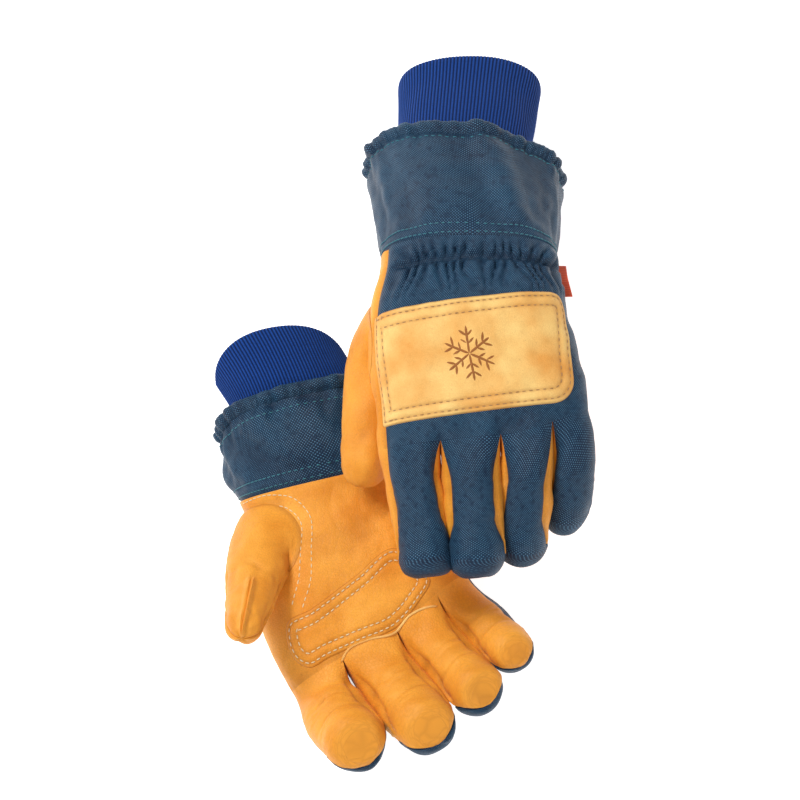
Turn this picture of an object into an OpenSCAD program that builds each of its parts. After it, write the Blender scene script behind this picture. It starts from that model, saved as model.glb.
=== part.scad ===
/* [Hand] */
// Width of each glove across the knuckles
knuckle_w = 104; // [98:1:110]
// Depth of the hand at the middle of the palm, back to palm
palm_depth = 44; // [40:1:46]
// Length from the finger crotches to the gauntlet seam
palm_len = 104; // [98:1:110]

/* [Fingers] */
// Length of the middle finger, from its knuckle hinge to its tip
middle_len = 64; // [60:1:68]
// Length of the thumb, from its hinge to its tip
thumb_len = 70; // [62:1:72]

/* [Cuff] */
// Thickness of the folded rib knit of the wrist
knit_t = 3; // [2:0.5:4]
// Width of the binding rolled over the gauntlet's mouth
binding_w = 7; // [5:1:9]

/* [Layers] */
// Thickness of the leather and of the woven back
shell_t = 1.4; // [1:0.1:1.4]
// Thickness of the fleece lining with its waterproof film
lining_t = 2; // [1.5:0.1:2.2]
// Thickness of the knuckle strap and the palm patch
strap_t = 1.4; // [1:0.1:1.5]
// Width of the knuckle strap, along the hand
strap_w = 52; // [44:1:54]

/* [Motion] */
// Furthest that a finger bends to the palm from rest, for the gap at its root
flex_gap = 44; // [40:1:50]
// Furthest that a finger bends back from rest, for the gap at its root
open_gap = 36; // [30:1:40]
// Bend of the cuff either way, for the gap at the wrist
wrist_gap = 20; // [15:1:22]

/* [Hidden] */
SIDES = ["left", "right"];
FINGERS = ["index", "middle", "ring", "little"];

// Scale of each driving size against the size the tables below are written for.
kw = knuckle_w / 104;
kd = palm_depth / 44;
kl = palm_len / 104;
kf = middle_len / 64;
kt = thumb_len / 70;

// Each glove has its own frame: +y to the fingertips, +x to the thumb, +z out of the back of
// the hand, with the origin midway between the crotches. The left glove lies back up on the
// right one, which lies palm up on the surface.
LEFT = 0;
RIGHT = 1;
place_at = [[43, -27, 80], [-6.7, -117, 22]];
place_turn = [180, 208];
// Lowest and highest z in the glove's frame: the surface that it lies on flattens it there.
floor_z = [[-80, 200], [-200, 22]];
back_z = [[-80, 200], [-200, 22 - strap_t - 0.1]];
binding_t = 1.2;
cuff_z = [for (z = floor_z) [z[0] + binding_t + 0.1, z[1] - binding_t - 0.1]];
knit_z = [floor_z[LEFT], cuff_z[RIGHT] - [0, shell_t + 0.4]];

gap = 0.1;          // between pieces that are sewn together
patch_gap = 0.4;    // under what lies on the outside, whose facets cross those below
elastic_t = 0.4;
elastic_gap = 0.3;    // on each side of the elastic, between the back and the lining
elastic_w = 9;
lining_out = shell_t + elastic_t + 2 * elastic_gap;
lining_in = lining_out + lining_t;
round_hand = 2.5;   // how square the hand's outline is, 2 being an ellipse
round_cuff = 2.2;

// Hand from the crotches to the gauntlet seam: [y, x, z, turn, pitch, half width, back, palm].
hand_path = [
    [
        [-2, 1.5, 0, 6, -3, 53, 16, 15],
        [-22, 3.5, 2, 7, -3, 52.5, 20, 18],
        [-46, 8, 3, 8, -1, 51, 23, 21],
        [-70, 10, 3, 6, 5, 48.5, 23.5, 22],
        [-88, 9, 0, 2, 14, 44.5, 22.5, 21],
        [-99, 9, -4, 0, 20, 44, 23, 22]
    ],
    [
        [-4, 0, 0, 3, 0, 53, 19, 15],
        [-22, 0, 0, 0, 0, 52, 22, 18],
        [-44, -2, 0, -5, 0, 50, 23.5, 21],
        [-64, -6, 0, -9, 2, 46.5, 23.5, 22],
        [-78, -9, 0, -12, 6, 43.5, 22.5, 21],
        [-88, -11, 0, -14.5, 8, 43.5, 22.5, 22]
    ]
];
// Gauntlet from the seam to its bound mouth, and the knit from inside the seam to its end. The
// last number is how far the palm side reaches ahead of the middle, for each mm of its height.
gauntlet_path = [
    [
        [-103, 9, -6.5, 0, 25, 44, 24, 23, 0],
        [-120, 10, -15.5, -2, 30, 46, 27, 26, 0],
        [-138, 11.5, -26, -4, 31, 48, 29, 28, 0],
        [-154, 12.5, -35.5, -5, 31, 50, 30, 30, 0]
    ],
    [
        [-92, -11.5, 0, -15, 6, 44, 22.5, 23, 0],
        [-103, -14.5, -1, -15, 4, 46, 24, 25, -0.15],
        [-114, -18, -2, -15, 2, 48, 24, 26, -0.3],
        [-125, -21.5, -3, -16, 0, 49, 25, 26, -0.45]
    ]
];
knit_path = [
    [
        [-104, 9, -7, 0, 25, 37, 18, 18, 0],
        [-128, 11, -21, -3, 30, 35, 21, 21, 0],
        [-154, 12, -35.5, -3, 31, 33.5, 23, 23, 0],
        [-176, 10, -48, -1, 29, 34.5, 24, 24, 0],
        [-200, 8, -60, -1, 26, 35.5, 24, 24, 0]
    ],
    [
        [-93.5, -12, 0, -15, 6, 37, 17, 18, 0],
        [-110, -16.5, -2, -16, 2, 34, 19, 20, -0.2],
        [-125, -19, -2, -17, 0, 32, 23, 23, -0.5],
        [-139, -19, -2, -18, 0, 32, 23.5, 24, -0.65],
        [-151, -18.5, -2, -19, 0, 32.5, 23.5, 24, -0.7]
    ]
];

// Fingers and thumb from their hinges:
// [x, y, z, turn, pitch, curl, length, half width, back, palm, front from, front to, back to].
// The three angles are where the leather front starts and ends, and where the back ends.
finger_table = [
    [
        [38.5, 7, -1, 8, -6, 13, 62, 13.2, 13.5, 13, 214, 384, 146],
        [9, 7, 1, 2, -7, 16, 64, 13.8, 14, 13.5, 214, 326, 146],
        [-19.5, 5, 0, -4, -12, 40, 60, 12.6, 13, 12.5, 214, 326, 146],
        [-43, -1, -6, -6, -14, 46, 50, 10.8, 12, 11.5, 200, 326, 200],
        [56, -52, -15, -5, 0, 8, 70, 15, 14, 13, 185, 355, 355]
    ],
    [
        [40, 5.5, 0, 8, -11, 64, 62, 13.2, 13.5, 13, 214, 384, 146],
        [8, 5.5, 0, 6, -6, 58, 64, 13.8, 14, 13.5, 214, 326, 146],
        [-20, 3.5, 0, 9, -6, 56, 60, 12.6, 13, 12.5, 214, 326, 146],
        [-44.5, 0.5, 0, 10, -6, 58, 50, 10.8, 12, 11.5, 200, 326, 200],
        [31, -75, -12, -37, -24, 16, 70, 17.5, 15, 14, 185, 355, 355]
    ]
];
THUMB = 4;
tip_round = 13;       // length over which a fingertip rounds off
tip_narrow = 0.84;    // width of a finger where its tip starts to round, against its root
tip_end = 0.25;       // radius of the small ring that closes a tip
seam_angle = 0.7;     // half the angle left open at a seam along a finger

function bend(v, n) = sign(v) * pow(abs(v), 2 / n);
function clamp(v, lo, hi) = max(lo, min(hi, v));

// A station is [centre, turn, pitch, half width, back, palm, squareness, lead back, lead palm].
// A lead slants the ring: it moves its points along the path in step with their height.
function tube_station(r, n) = [
    [r[1] * kw, r[0] * kl, r[2]], r[3], r[4], r[5] * kw, r[6] * kd, r[7] * kd, n,
    0, len(r) > 8 ? r[8] : 0
];
function with_lead(s, k) = [s[0], s[1], s[2], s[3], s[4], s[5], s[6], k, k];

// The point at angle a of a station's ring, inset by d from the outside of the glove.
function ring_point(s, a, d, limits) =
    let (
        x = (s[3] - d) * bend(cos(a), s[6]),
        z = ((sin(a) >= 0 ? s[4] : s[5]) - d) * bend(sin(a), s[6]),
        lead = z >= 0 ? s[7] * z : -s[8] * z,
        across = [cos(s[1]), sin(s[1]), 0],
        along = [-sin(s[1]) * cos(s[2]), cos(s[1]) * cos(s[2]), sin(s[2])],
        p = s[0] + x * across + z * cross(across, along) + lead * along
    )
    [p[0], p[1], clamp(p[2], limits[0] + d, limits[1] - d)];
function rings(stations, angles, d, limits) =
    [for (s = stations) [for (a = angles) ring_point(s, a, d, limits)]];
function angle_steps(from, to, n) = [for (k = [0:n]) from + (to - from) * k / n];

// Stations of a finger, inset by d: a tapering arc with a rounded tip.
function finger_station(f, s, width, d) =
    let (
        rate = f[5] / f[6],
        here = f[4] - rate * s,
        forward = (sin(f[4]) - sin(here)) / (rate * PI / 180),
        rise = (cos(here) - cos(f[4])) / (rate * PI / 180),
        lead_back = s > 1 ? 0 : tan(open_gap / 2),
        lead_palm = s > 1 ? 0 : tan(flex_gap / 2)
    )
    [
        [f[0] * kw - sin(f[3]) * forward, f[1] + cos(f[3]) * forward, f[2] + rise],
        f[3], here,
        d + max(tip_end, width * (f[7] - d)),
        d + max(tip_end, width * (f[8] - d)),
        d + max(tip_end, width * (f[9] - d)),
        2, lead_back, lead_palm
    ];
function finger_stations(f, d) =
    let (body = f[6] - tip_round)
    [
        finger_station(f, 0.5, 1, d),
        for (u = [0.4, 0.7, 1]) finger_station(f, u * body, 1 - (1 - tip_narrow) * u, d),
        for (t = [35, 62, 90])
            finger_station(f, body + (tip_round - d) * sin(t), tip_narrow * cos(t), d)
    ];
function finger_rings(f, angles, d) = rings(finger_stations(f, d), angles, d, [-200, 200]);

// Fingers scaled by the driving lengths.
function finger(g, i) =
    let (f = finger_table[g][i], k = i == THUMB ? kt : kf)
    [for (j = [0:len(f) - 1]) j == 6 ? f[j] * k : f[j]];

function two(a, b, c, d) = [[a, b, c], [a, c, d]];
function sheet_faces(m, q, at, wrap, inside) = [
    for (i = [0:m - 2], k = [0:(wrap ? q - 1 : q - 2)])
        let (
            j = (k + 1) % q,
            a = at + i * q + k,
            b = at + i * q + j,
            c = at + (i + 1) * q + j,
            d = at + (i + 1) * q + k
        )
        each inside ? two(a, d, c, b) : two(a, b, c, d)
];
function end_faces(i, q, n, wrap, first) = [
    for (k = [0:(wrap ? q - 1 : q - 2)])
        let (j = (k + 1) % q, a = i * q + k, b = i * q + j)
        each first ? two(a, a + n, b + n, b) : two(a, b, b + n, a + n)
];
function side_faces(m, q, n, k, first) = [
    for (i = [0:m - 2])
        let (a = i * q + k, b = (i + 1) * q + k)
        each first ? two(a, b, b + n, a + n) : two(a, a + n, b + n, b)
];

// A wall between an outer and an inner grid of points. A panel has open sides; a tube closes
// on itself, and with a tip its far end is shut.
module wall(outer, inner, wrap = false, tip = false) {
    m = len(outer);
    q = len(outer[0]);
    n = m * q;
    last = (m - 1) * q;
    points = [for (r = outer) each r, for (r = inner) each r];
    tips = [
        [for (k = [0:q - 1]) last + k],
        [for (k = [q - 1:-1:0]) last + n + k]
    ];
    faces = [
        each sheet_faces(m, q, 0, wrap, false),
        each sheet_faces(m, q, n, wrap, true),
        each end_faces(0, q, n, wrap, true),
        each tip ? tips : end_faces(m - 1, q, n, wrap, false),
        each wrap ? [] : side_faces(m, q, n, 0, true),
        each wrap ? [] : side_faces(m, q, n, q - 1, false)
    ];
    polyhedron(points, faces, convexity = 6);
}

// A closed solid through a stack of full rings.
module plug(outer) {
    m = len(outer);
    q = len(outer[0]);
    polyhedron(
        [for (r = outer) each r],
        [
            each sheet_faces(m, q, 0, true, false),
            [for (k = [q - 1:-1:0]) k],
            [for (k = [0:q - 1]) (m - 1) * q + k]
        ],
        convexity = 6
    );
}

function hand_stations(g) = [for (r = hand_path[g]) tube_station(r, round_hand)];
function cuff_stations(path) = let (s = [for (r = path) tube_station(r, round_cuff)])
    [with_lead(s[0], -tan(wrist_gap / 2)), for (i = [1:len(s) - 1]) s[i]];
// The hand from the wrist to the crotches, with its wrist ring slanted to clear the cuff.
function hand_walls(g) = let (s = hand_stations(g), n = len(s))
    [with_lead(s[n - 1], tan(wrist_gap / 2)), for (i = [n - 2:-1:0]) s[i]];
// A station between two others, at share u of the way.
function between(a, b, u) = [for (j = [0:8]) a[j] * (1 - u) + b[j] * u];

module place(g) {
    translate(place_at[g]) rotate([0, 0, place_turn[g]])
        mirror([0, 0, g == RIGHT ? 1 : 0]) children();
}

// The thumb's own room in the hand, with clearance c.
room = 0.8;
module thumb_room(g, c) {
    f = finger(g, THUMB);
    start = [for (j = [0:12]) j == 7 || j == 8 || j == 9 ? f[j] + c : f[j]];
    s = finger_stations(start, 0);
    plug(rings([for (i = [0:3]) with_lead(s[i], 0)], angle_steps(0, 330, 11), 0, [-200, 200]));
    translate([f[0] * kw, f[1], f[2]]) sphere(r = f[7] / cos(flex_gap / 2) + c + 0.3, $fn = 24);
}

back_from = 24;    // angle of the seam between leather and back on the thumb side
back_to = 188;     // and on the far side
back_angles = angle_steps(back_from, back_to, 12);
palm_angles = angle_steps(back_to + seam_angle, back_from + 360 - seam_angle, 14);
module hand_panel(g, a, limits) {
    difference() {
        wall(rings(hand_walls(g), a, 0, limits), rings(hand_walls(g), a, shell_t, limits));
        thumb_room(g, room);
    }
}
module palm_leather(g) { color("#e8a048") hand_panel(g, palm_angles, floor_z[g]); }
module hand_back(g) { color("#2c4a68") hand_panel(g, back_angles, back_z[g]); }
module hand_lining(g) {
    a = [each back_angles, each palm_angles];
    color("#3a3d42") difference() {
        wall(
            rings(hand_walls(g), a, lining_out, back_z[g]),
            rings(hand_walls(g), a, lining_in, back_z[g]), wrap = true
        );
        thumb_room(g, room);
    }
}

// The strap follows the back of the left hand, and lies flat under the right one.
strap_at = -37.5;
module knuckle_strap(g) {
    s = hand_stations(g);
    rows = [
        between(s[3], s[2], 0.22), s[2], between(s[2], s[1], 0.5), s[1], between(s[1], s[0], 0.58)
    ];
    a = [for (k = [0:11]) back_angles[k]];
    color("#f0bf78")
        if (g == LEFT)
            wall(
                rings(rows, a, -strap_t - patch_gap, floor_z[g]),
                rings(rows, a, -patch_gap, floor_z[g])
            );
        else
            translate([3 * kw, strap_at * kl, floor_z[g][1] - strap_t])
                linear_extrude(strap_t) offset(r = 8, $fn = 32)
                    square([88 * kw - 16, strap_w - 16], center = true);
}

// A leaf of leather sewn over the palm, under the fingers.
module palm_patch(g) {
    s = hand_stations(g);
    rows = [
        between(s[2], s[1], 0.2), between(s[2], s[1], 0.6), s[1], between(s[1], s[0], 0.5),
        between(s[1], s[0], 0.8)
    ];
    half = [12, 26, 34, 30, 16];
    middle = 268;
    function leaf(d) = [
        for (i = [0:4])
            let (a = angle_steps(middle - half[i], middle + half[i], 8))
            rings([rows[i]], a, d, floor_z[g])[0]
    ];
    color("#eaa44c") wall(leaf(-strap_t - patch_gap), leaf(-patch_gap));
}

// Narrow elastic between the back and the lining, which gathers the back at the wrist.
module wrist_elastic(g) {
    s = hand_stations(g);
    rows = [
        between(s[4], s[5], elastic_w / 2 / norm(s[5][0] - s[4][0])), s[4],
        between(s[4], s[3], elastic_w / 2 / norm(s[3][0] - s[4][0]))
    ];
    a = [for (k = [2:8]) back_angles[k]];
    color("white") wall(
        rings(rows, a, shell_t + elastic_gap, back_z[g]),
        rings(rows, a, shell_t + elastic_gap + elastic_t, back_z[g])
    );
}

label_len = 16;
label_out = 5;
label_t = 0.8;
// A folded woven tag caught in the seam at the far side of the wrist.
module side_label(g) {
    s = hand_stations(g);
    u = 0.5 * label_len / norm(s[3][0] - s[4][0]);
    color("#d8442a") hull()
        for (row = [between(s[4], s[3], 0.5 - u), between(s[4], s[3], 0.5 + u)])
            translate(ring_point(row, 180, -patch_gap, floor_z[g]) - [label_out, 0, label_t / 2])
                cube([label_out, 0.2, label_t]);
}

module gauntlet(g) {
    s = cuff_stations(gauntlet_path[g]);
    a = angle_steps(0, 345, 23);
    color("#2f5570")
        wall(rings(s, a, shell_t, cuff_z[g]), rings(s, a, 0, cuff_z[g]), wrap = true);
}
module gauntlet_binding(g) {
    s = cuff_stations(gauntlet_path[g]);
    last = len(s) - 1;
    back = binding_w / norm(s[last][0] - s[last - 1][0]);
    rows = [between(s[last], s[last - 1], back), s[last]];
    a = angle_steps(0, 345, 23);
    color("#28506a") wall(
        rings(rows, a, -gap, cuff_z[g]),
        rings(rows, a, -gap - binding_t, cuff_z[g]), wrap = true
    );
}
module knit_wrist(g) {
    s = cuff_stations(knit_path[g]);
    a = angle_steps(0, 345, 23);
    color("#20408a")
        wall(rings(s, a, knit_t, knit_z[g]), rings(s, a, 0, knit_z[g]), wrap = true);
}

module finger_panel(f, from, to, n) {
    a = angle_steps(from + seam_angle, to - seam_angle, n);
    wall(finger_rings(f, a, 0), finger_rings(f, a, shell_t));
}
module finger_front(g, i) {
    f = finger(g, i);
    color("#e8a048") finger_panel(f, f[10], f[11], i == 0 ? 8 : 6);
}
module finger_back(g, i) {
    f = finger(g, i);
    from = i == THUMB ? -5 : f[11] > 360 ? f[11] - 360 : 34;
    to = i == THUMB ? 185 : f[12];
    color(i == THUMB ? "#e09a44" : "#2c4a68") finger_panel(f, from, to, 6);
}
// The strips between the fingers. The index has one on its inner side, the little finger too.
module fourchette(g, i) {
    f = finger(g, i);
    color("#dc9440") {
        if (i > 0) finger_panel(f, -34, 34, 3);
        if (i < 3) finger_panel(f, 146, 214, 3);
    }
}
module finger_lining(g, i) {
    f = finger(g, i);
    a = angle_steps(0, 330, 11);
    color("#3a3d42")
        wall(finger_rings(f, a, lining_out), finger_rings(f, a, lining_in), wrap = true, tip = true);
}

for (g = [LEFT, RIGHT]) {
    side = SIDES[g];
    place(g) palm_leather(g);
    place(g) hand_back(g);
    place(g) knuckle_strap(g);
    place(g) palm_patch(g);
    place(g) wrist_elastic(g);
    place(g) side_label(g);
    place(g) hand_lining(g);
    place(g) gauntlet(g);
    place(g) gauntlet_binding(g);
    place(g) knit_wrist(g);
    for (i = [0:3]) {
        name = str(side, "_", FINGERS[i]);
        place(g) finger_front(g, i);
        place(g) finger_back(g, i);
        place(g) fourchette(g, i);
        place(g) finger_lining(g, i);
    }
    place(g) finger_front(g, THUMB);
    place(g) finger_back(g, THUMB);
    place(g) finger_lining(g, THUMB);
}
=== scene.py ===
from math import cos, pi, radians, sin

import bmesh
import bpy
import numpy as np
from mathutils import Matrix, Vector


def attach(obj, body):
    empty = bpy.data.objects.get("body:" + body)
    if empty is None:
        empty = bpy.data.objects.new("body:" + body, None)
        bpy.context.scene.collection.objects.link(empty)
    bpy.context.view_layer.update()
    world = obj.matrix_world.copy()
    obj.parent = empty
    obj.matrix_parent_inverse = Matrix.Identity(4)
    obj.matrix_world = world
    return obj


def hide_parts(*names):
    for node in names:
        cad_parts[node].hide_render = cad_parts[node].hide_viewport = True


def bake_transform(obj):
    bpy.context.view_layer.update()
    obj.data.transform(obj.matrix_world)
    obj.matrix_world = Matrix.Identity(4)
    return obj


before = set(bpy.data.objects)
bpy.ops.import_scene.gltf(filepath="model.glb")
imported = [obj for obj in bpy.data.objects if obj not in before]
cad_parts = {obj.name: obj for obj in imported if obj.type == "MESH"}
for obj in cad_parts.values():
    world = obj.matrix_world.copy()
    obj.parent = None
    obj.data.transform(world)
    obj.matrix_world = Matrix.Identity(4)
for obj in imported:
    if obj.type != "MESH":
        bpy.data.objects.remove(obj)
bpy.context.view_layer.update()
bpy.ops.object.select_all(action="DESELECT")

# ---- Leather palms ----
# Each palm is one piece of golden tan grain cowhide, cut to wrap round the thumb side of the hand
# and sewn to the woven back along both sides. It ends under the fingers and at the gauntlet.
# Everything on a glove is drawn in the glove's own frame, in mm: y to the fingertips, x to the
# thumb, z out of the back of the hand. The right glove is the left one's mirror, lying palm up.
# A pair of values in brackets is the left glove's and the right glove's.
LEFT, RIGHT = 0, 1
SIDES = ["left", "right"]
FINGERS = ["index", "middle", "ring", "little"]
TABLE_Z = 22          # height of the table in the right glove's frame
PLACE_AT = [(43, -27, 80), (-6.7, -117, TABLE_Z)]
PLACE_TURN = [radians(180), radians(208)]


def on_table(g, p):
    """A glove's own points, in mm, as points of the pair, in metres."""
    x, y, z = p[..., 0], p[..., 1], p[..., 2] * (1 if g == LEFT else -1)
    c, s, at = cos(PLACE_TURN[g]), sin(PLACE_TURN[g]), PLACE_AT[g]
    return np.stack([x * c - y * s + at[0], x * s + y * c + at[1], z + at[2]], -1) / 1000


# Rings along the hand: [y, x, z, turn, pitch, half width, back, palm], fingers first. The first
# ring is inside the roots of the fingers, so that the hand runs on into them.
HAND_PATH = [
    np.array([
        [25, -1, -1.5, 5, -6, 53, 13.5, 12.8], [-2, 1.5, 0, 6, -3, 53, 16, 15],
        [-22, 3.5, 2, 7, -3, 52.5, 20, 18], [-46, 8, 3, 8, -1, 51, 23, 21],
        [-70, 10, 3, 6, 5, 48.5, 23.5, 22], [-88, 9, 0, 2, 14, 44.5, 22.5, 21],
        [-99, 9, -4, 0, 20, 44, 23, 22], [-112, 9, -11, -1, 28, 45, 25, 24]], float),
    np.array([
        [25, 1, 0, 5, -4, 53, 14, 13], [-4, 0, 0, 3, 0, 53, 19, 15],
        [-22, 0, 0, 0, 0, 52, 22, 18], [-44, -2, 0, -5, 0, 50, 23.5, 21],
        [-64, -6, 0, -9, 2, 46.5, 23.5, 22], [-78, -9, 0, -12, 6, 43.5, 22.5, 21],
        [-88, -11, 0, -14.5, 8, 43.5, 22.5, 22], [-100, -13.5, -1, -15, 4, 45, 23.5, 23]], float),
]
HAND_SQUARE = 2.5     # exponent of the hand's outline, 2 being an ellipse
HALF_HAND = 53        # half the hand's width at the knuckles
MID_HAND_Y = -46      # where the length round the hand is measured
SEAM_FROM, SEAM_TO = 24, 188   # angles of the two side seams, thumb side and far side
WRIST_Y = [-94.5, -89]         # where the hand ends and the gauntlet starts


def spline(at, values, u):
    """Smooth curve at u through the values given at rising places."""
    slopes = np.gradient(values, at)
    u = np.clip(u, at[0] - 4, at[-1] + 4)
    k = np.clip(np.searchsorted(at, u) - 1, 0, len(at) - 2)
    h = at[k + 1] - at[k]
    t = (u - at[k]) / h
    return ((1 + 2 * t) * (1 - t) ** 2 * values[k] + t * (1 - t) ** 2 * h * slopes[k]
            + t * t * (3 - 2 * t) * values[k + 1] + t * t * (t - 1) * h * slopes[k + 1])


def signed(v, power):
    """A power that keeps the sign."""
    return np.sign(v) * np.abs(v) ** power


def unit(v):
    """Vectors scaled to length 1."""
    return v / np.maximum(np.linalg.norm(v, axis=-1, keepdims=True), 1e-9)


def ring_points(centre, turn, pitch, half, back, palm, square, angle, lead=0):
    """Points at an angle on rings that stand across a path; lead slants their palm side."""
    turn, pitch, angle = np.radians(turn), np.radians(pitch), np.radians(angle)
    x = half * signed(np.cos(angle), 2 / square)
    z = np.where(np.sin(angle) >= 0, back, palm) * signed(np.sin(angle), 2 / square)
    ahead = np.where(z < 0, -lead * z, 0)
    across = [np.cos(turn), np.sin(turn), 0 * turn]
    along = [-np.sin(turn) * np.cos(pitch), np.cos(turn) * np.cos(pitch), np.sin(pitch)]
    up = [np.sin(turn) * np.sin(pitch), -np.cos(turn) * np.sin(pitch), np.cos(pitch)]
    return np.stack([c + x * a + z * b + ahead * d
                     for c, a, b, d in zip(centre, across, up, along)], -1)


def settle(p, top, soft=2.0):
    """What lies on the table is flattened there, over a few mm."""
    z = p[..., 2]
    over = np.maximum(z - (top - soft), 0)
    p[..., 2] = np.where(z > top - soft, top - soft + soft * np.tanh(over / soft), z)
    return p


def path_form(path, y, angle, square, lift):
    """The smooth skin through a path's rings, at places y along it."""
    cols = [spline(path[::-1, 0], path[::-1, k], y) for k in range(1, path.shape[1])]
    lead = cols[7] if len(cols) > 7 else 0
    return ring_points([cols[0], y, cols[1]], cols[2], cols[3], cols[4] + lift, cols[5] + lift,
                       cols[6] + lift, square, angle, lead)


def hand_form(g, y, angle, lift=0.0):
    """The hand's plain form, without its seams and folds."""
    y, angle = np.broadcast_arrays(np.asarray(y, float), np.asarray(angle, float))
    p = path_form(HAND_PATH[g], y, angle, HAND_SQUARE, lift)
    return settle(p, TABLE_Z - 2.2 + lift) if g == RIGHT else p


def noise(seed, u, v, size, count=16):
    """Smooth random swells about size mm across, mostly between -1 and 1."""
    draw = np.random.default_rng(seed)
    total = 0
    for _ in range(count):
        way, phase = draw.uniform(0, 2 * pi, 2)
        k = 2 * pi / size * draw.uniform(0.6, 1.4)
        total = total + np.sin(k * (u * cos(way) + v * sin(way)) + phase)
    return total / count ** 0.5


def creases(seed, u, v, size, width=0.22):
    """Thin winding valleys, 1 in the valley and 0 away from it."""
    return np.exp(-(noise(seed, u, v, size) / width) ** 2)


def near(distance, width):
    """1 at a line or place, falling to 0 over about the width."""
    return np.exp(-(distance / width) ** 2)


def smooth(u):
    """0 to 1 with soft ends."""
    u = np.clip(u, 0, 1)
    return u * u * (3 - 2 * u)


def running(p):
    """Length run from the first point, at each point of a line."""
    return np.concatenate([[0], np.cumsum(np.linalg.norm(np.diff(p, axis=0), axis=-1))])


# Running length round each hand at its middle, from the thumb-side seam.
TURN_ANGLES = np.linspace(SEAM_FROM - 60, SEAM_FROM + 420, 961)
TURN_MM = []
for g in (LEFT, RIGHT):
    mm = running(path_form(HAND_PATH[g], MID_HAND_Y + 0 * TURN_ANGLES, TURN_ANGLES,
                           HAND_SQUARE, 0))
    TURN_MM.append(mm - np.interp(SEAM_FROM, TURN_ANGLES, mm))


def to_mm(g, angle):
    """Angle round a hand as mm round it from the thumb-side seam."""
    return np.interp(angle, TURN_ANGLES, TURN_MM[g])


def to_angle(g, mm):
    """Mm round a hand from the thumb-side seam as an angle round it."""
    return np.interp(mm, TURN_MM[g], TURN_ANGLES)


CROTCH_X = [[22.5, -7.4, -33.6], [24.3, -6.6, -33.1]]   # across the hand, from its middle
GATHER_Y = [-84, -77]          # the elastic's place
FRONT_Y = [-0.5, -4.5]         # where the fingers start
FRONT_DROP = 6.5               # how much further back the little finger starts than the others
PLEAT_MM = 6.4                 # from one pleat of the gathered back to the next


def crotch_angle(g, k):
    """Angle round the hand of the slit after finger k."""
    return np.degrees(np.arccos(signed(CROTCH_X[g][k] / HALF_HAND, HAND_SQUARE / 2)))


def across_hand(angle):
    """Distance across the hand from its middle, to the thumb side."""
    return HALF_HAND * signed(np.cos(np.radians(angle)), 2 / HAND_SQUARE)


def hand_front(g, angle):
    """Where the hand ends and the fingers start."""
    return FRONT_Y[g] - FRONT_DROP * smooth((-across_hand(angle) - 12) / 38)


def hand_relief(g, y, angle):
    """What stands out of the hand's plain form: seams, gathers, valleys and wrinkles, in mm."""
    u = to_mm(g, angle)
    back = (angle > SEAM_FROM) & (angle < SEAM_TO)
    seams = [to_mm(g, a) for a in (SEAM_FROM, SEAM_TO, SEAM_FROM + 360)]
    edge = np.min([np.abs(u - seam) for seam in seams], axis=0)
    out = -1.1 * near(edge, 1.9)
    # The elastic gathers the woven back: a groove, and pleats that fan out from it.
    dy = y - GATHER_Y[g] - 1.5 * noise(5 + g, u, 0, 60)
    middle = smooth(np.minimum(u - seams[0] - 3, seams[1] - u - 3) / 9)
    phase = pi * (u + 2.2 * noise(11 + g, u, dy, 30) * (1 + np.abs(dy) / 9)) / PLEAT_MM
    pleat = np.abs(np.sin(phase)) ** 0.75
    fine = np.abs(np.sin(2.3 * phase + 0.9)) ** 0.8
    reach = (smooth(np.abs(dy) / 2.6) * np.exp(-np.abs(dy) / 12)
             * smooth((22 - np.abs(dy)) / 9))
    gathered = (-2.2 * near(dy, 2.0) - 1.7 * near(dy, 9.0) + 4.2 * reach * (pleat - 0.45)
                + 0.9 * near(dy, 3.2) * (fine - 0.5))
    cloth = (0.55 * noise(21 + g, u, y * 1.3, 34) + 0.22 * noise(22 + g, u, y, 13)
             - 0.3 * creases(23 + g, u * 0.8, y * 1.5, 36, 0.16) * smooth((y + 14) / 14))
    # Between the fingers' roots the back and the palm dip towards each slit.
    valley = 0
    for c in CROTCH_X[g]:
        valley = valley - 1.9 * near(across_hand(angle) - c, 3.4) * smooth((y + 15) / 19)
    # The leather swells softly, and one crease runs across it where the fingers bend.
    bend = near(y + 5 - 1.5 * noise(34, u, 0, 30), 3.0) * (np.sin(np.radians(angle)) < 0)
    leather = (0.6 * noise(31 + g, u, y, 34) + 0.12 * noise(32 + g, u, y, 10)
               - 0.2 * creases(33 + g, u, y * 0.75, 30, 0.2) - 0.6 * bend)
    away = smooth(edge / 4)
    flat = smooth((y - WRIST_Y[g]) / 5)
    return out + away * np.where(back, (middle * gathered + cloth) * flat, leather * flat) + valley


def on_skin(form, relief, y, angle, lift=0.0, probe=0.4):
    """Points on a form's skin with its relief, lifted off it by some mm."""
    y, angle = np.broadcast_arrays(np.asarray(y, float), np.asarray(angle, float))
    n = unit(np.cross(form(y + probe, angle) - form(y - probe, angle),
                      form(y, angle + probe) - form(y, angle - probe)))
    return form(y, angle) + n * (relief(y, angle) + lift)[..., None]


def lie(g, p, gap):
    """The right glove's points that would be under the table, brought up to a gap above it."""
    if g == RIGHT:
        p[..., 2] = np.minimum(p[..., 2], TABLE_Z - gap)
    return p


def hand_skin(g, y, angle, lift=0.0):
    """The finished skin of the hand, at y along it and an angle round it."""
    p = on_skin(lambda v, a: hand_form(g, v, a), lambda v, a: hand_relief(g, v, a), y, angle, lift)
    return lie(g, p, 1.7 - lift)


def srgb(code):
    """An sRGB hex code as a linear colour."""
    c = np.array([int(code[i:i + 2], 16) for i in (1, 3, 5)]) / 255
    return tuple(np.where(c <= 0.04045, c / 12.92, ((c + 0.055) / 1.055) ** 2.4)) + (1.0,)


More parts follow.
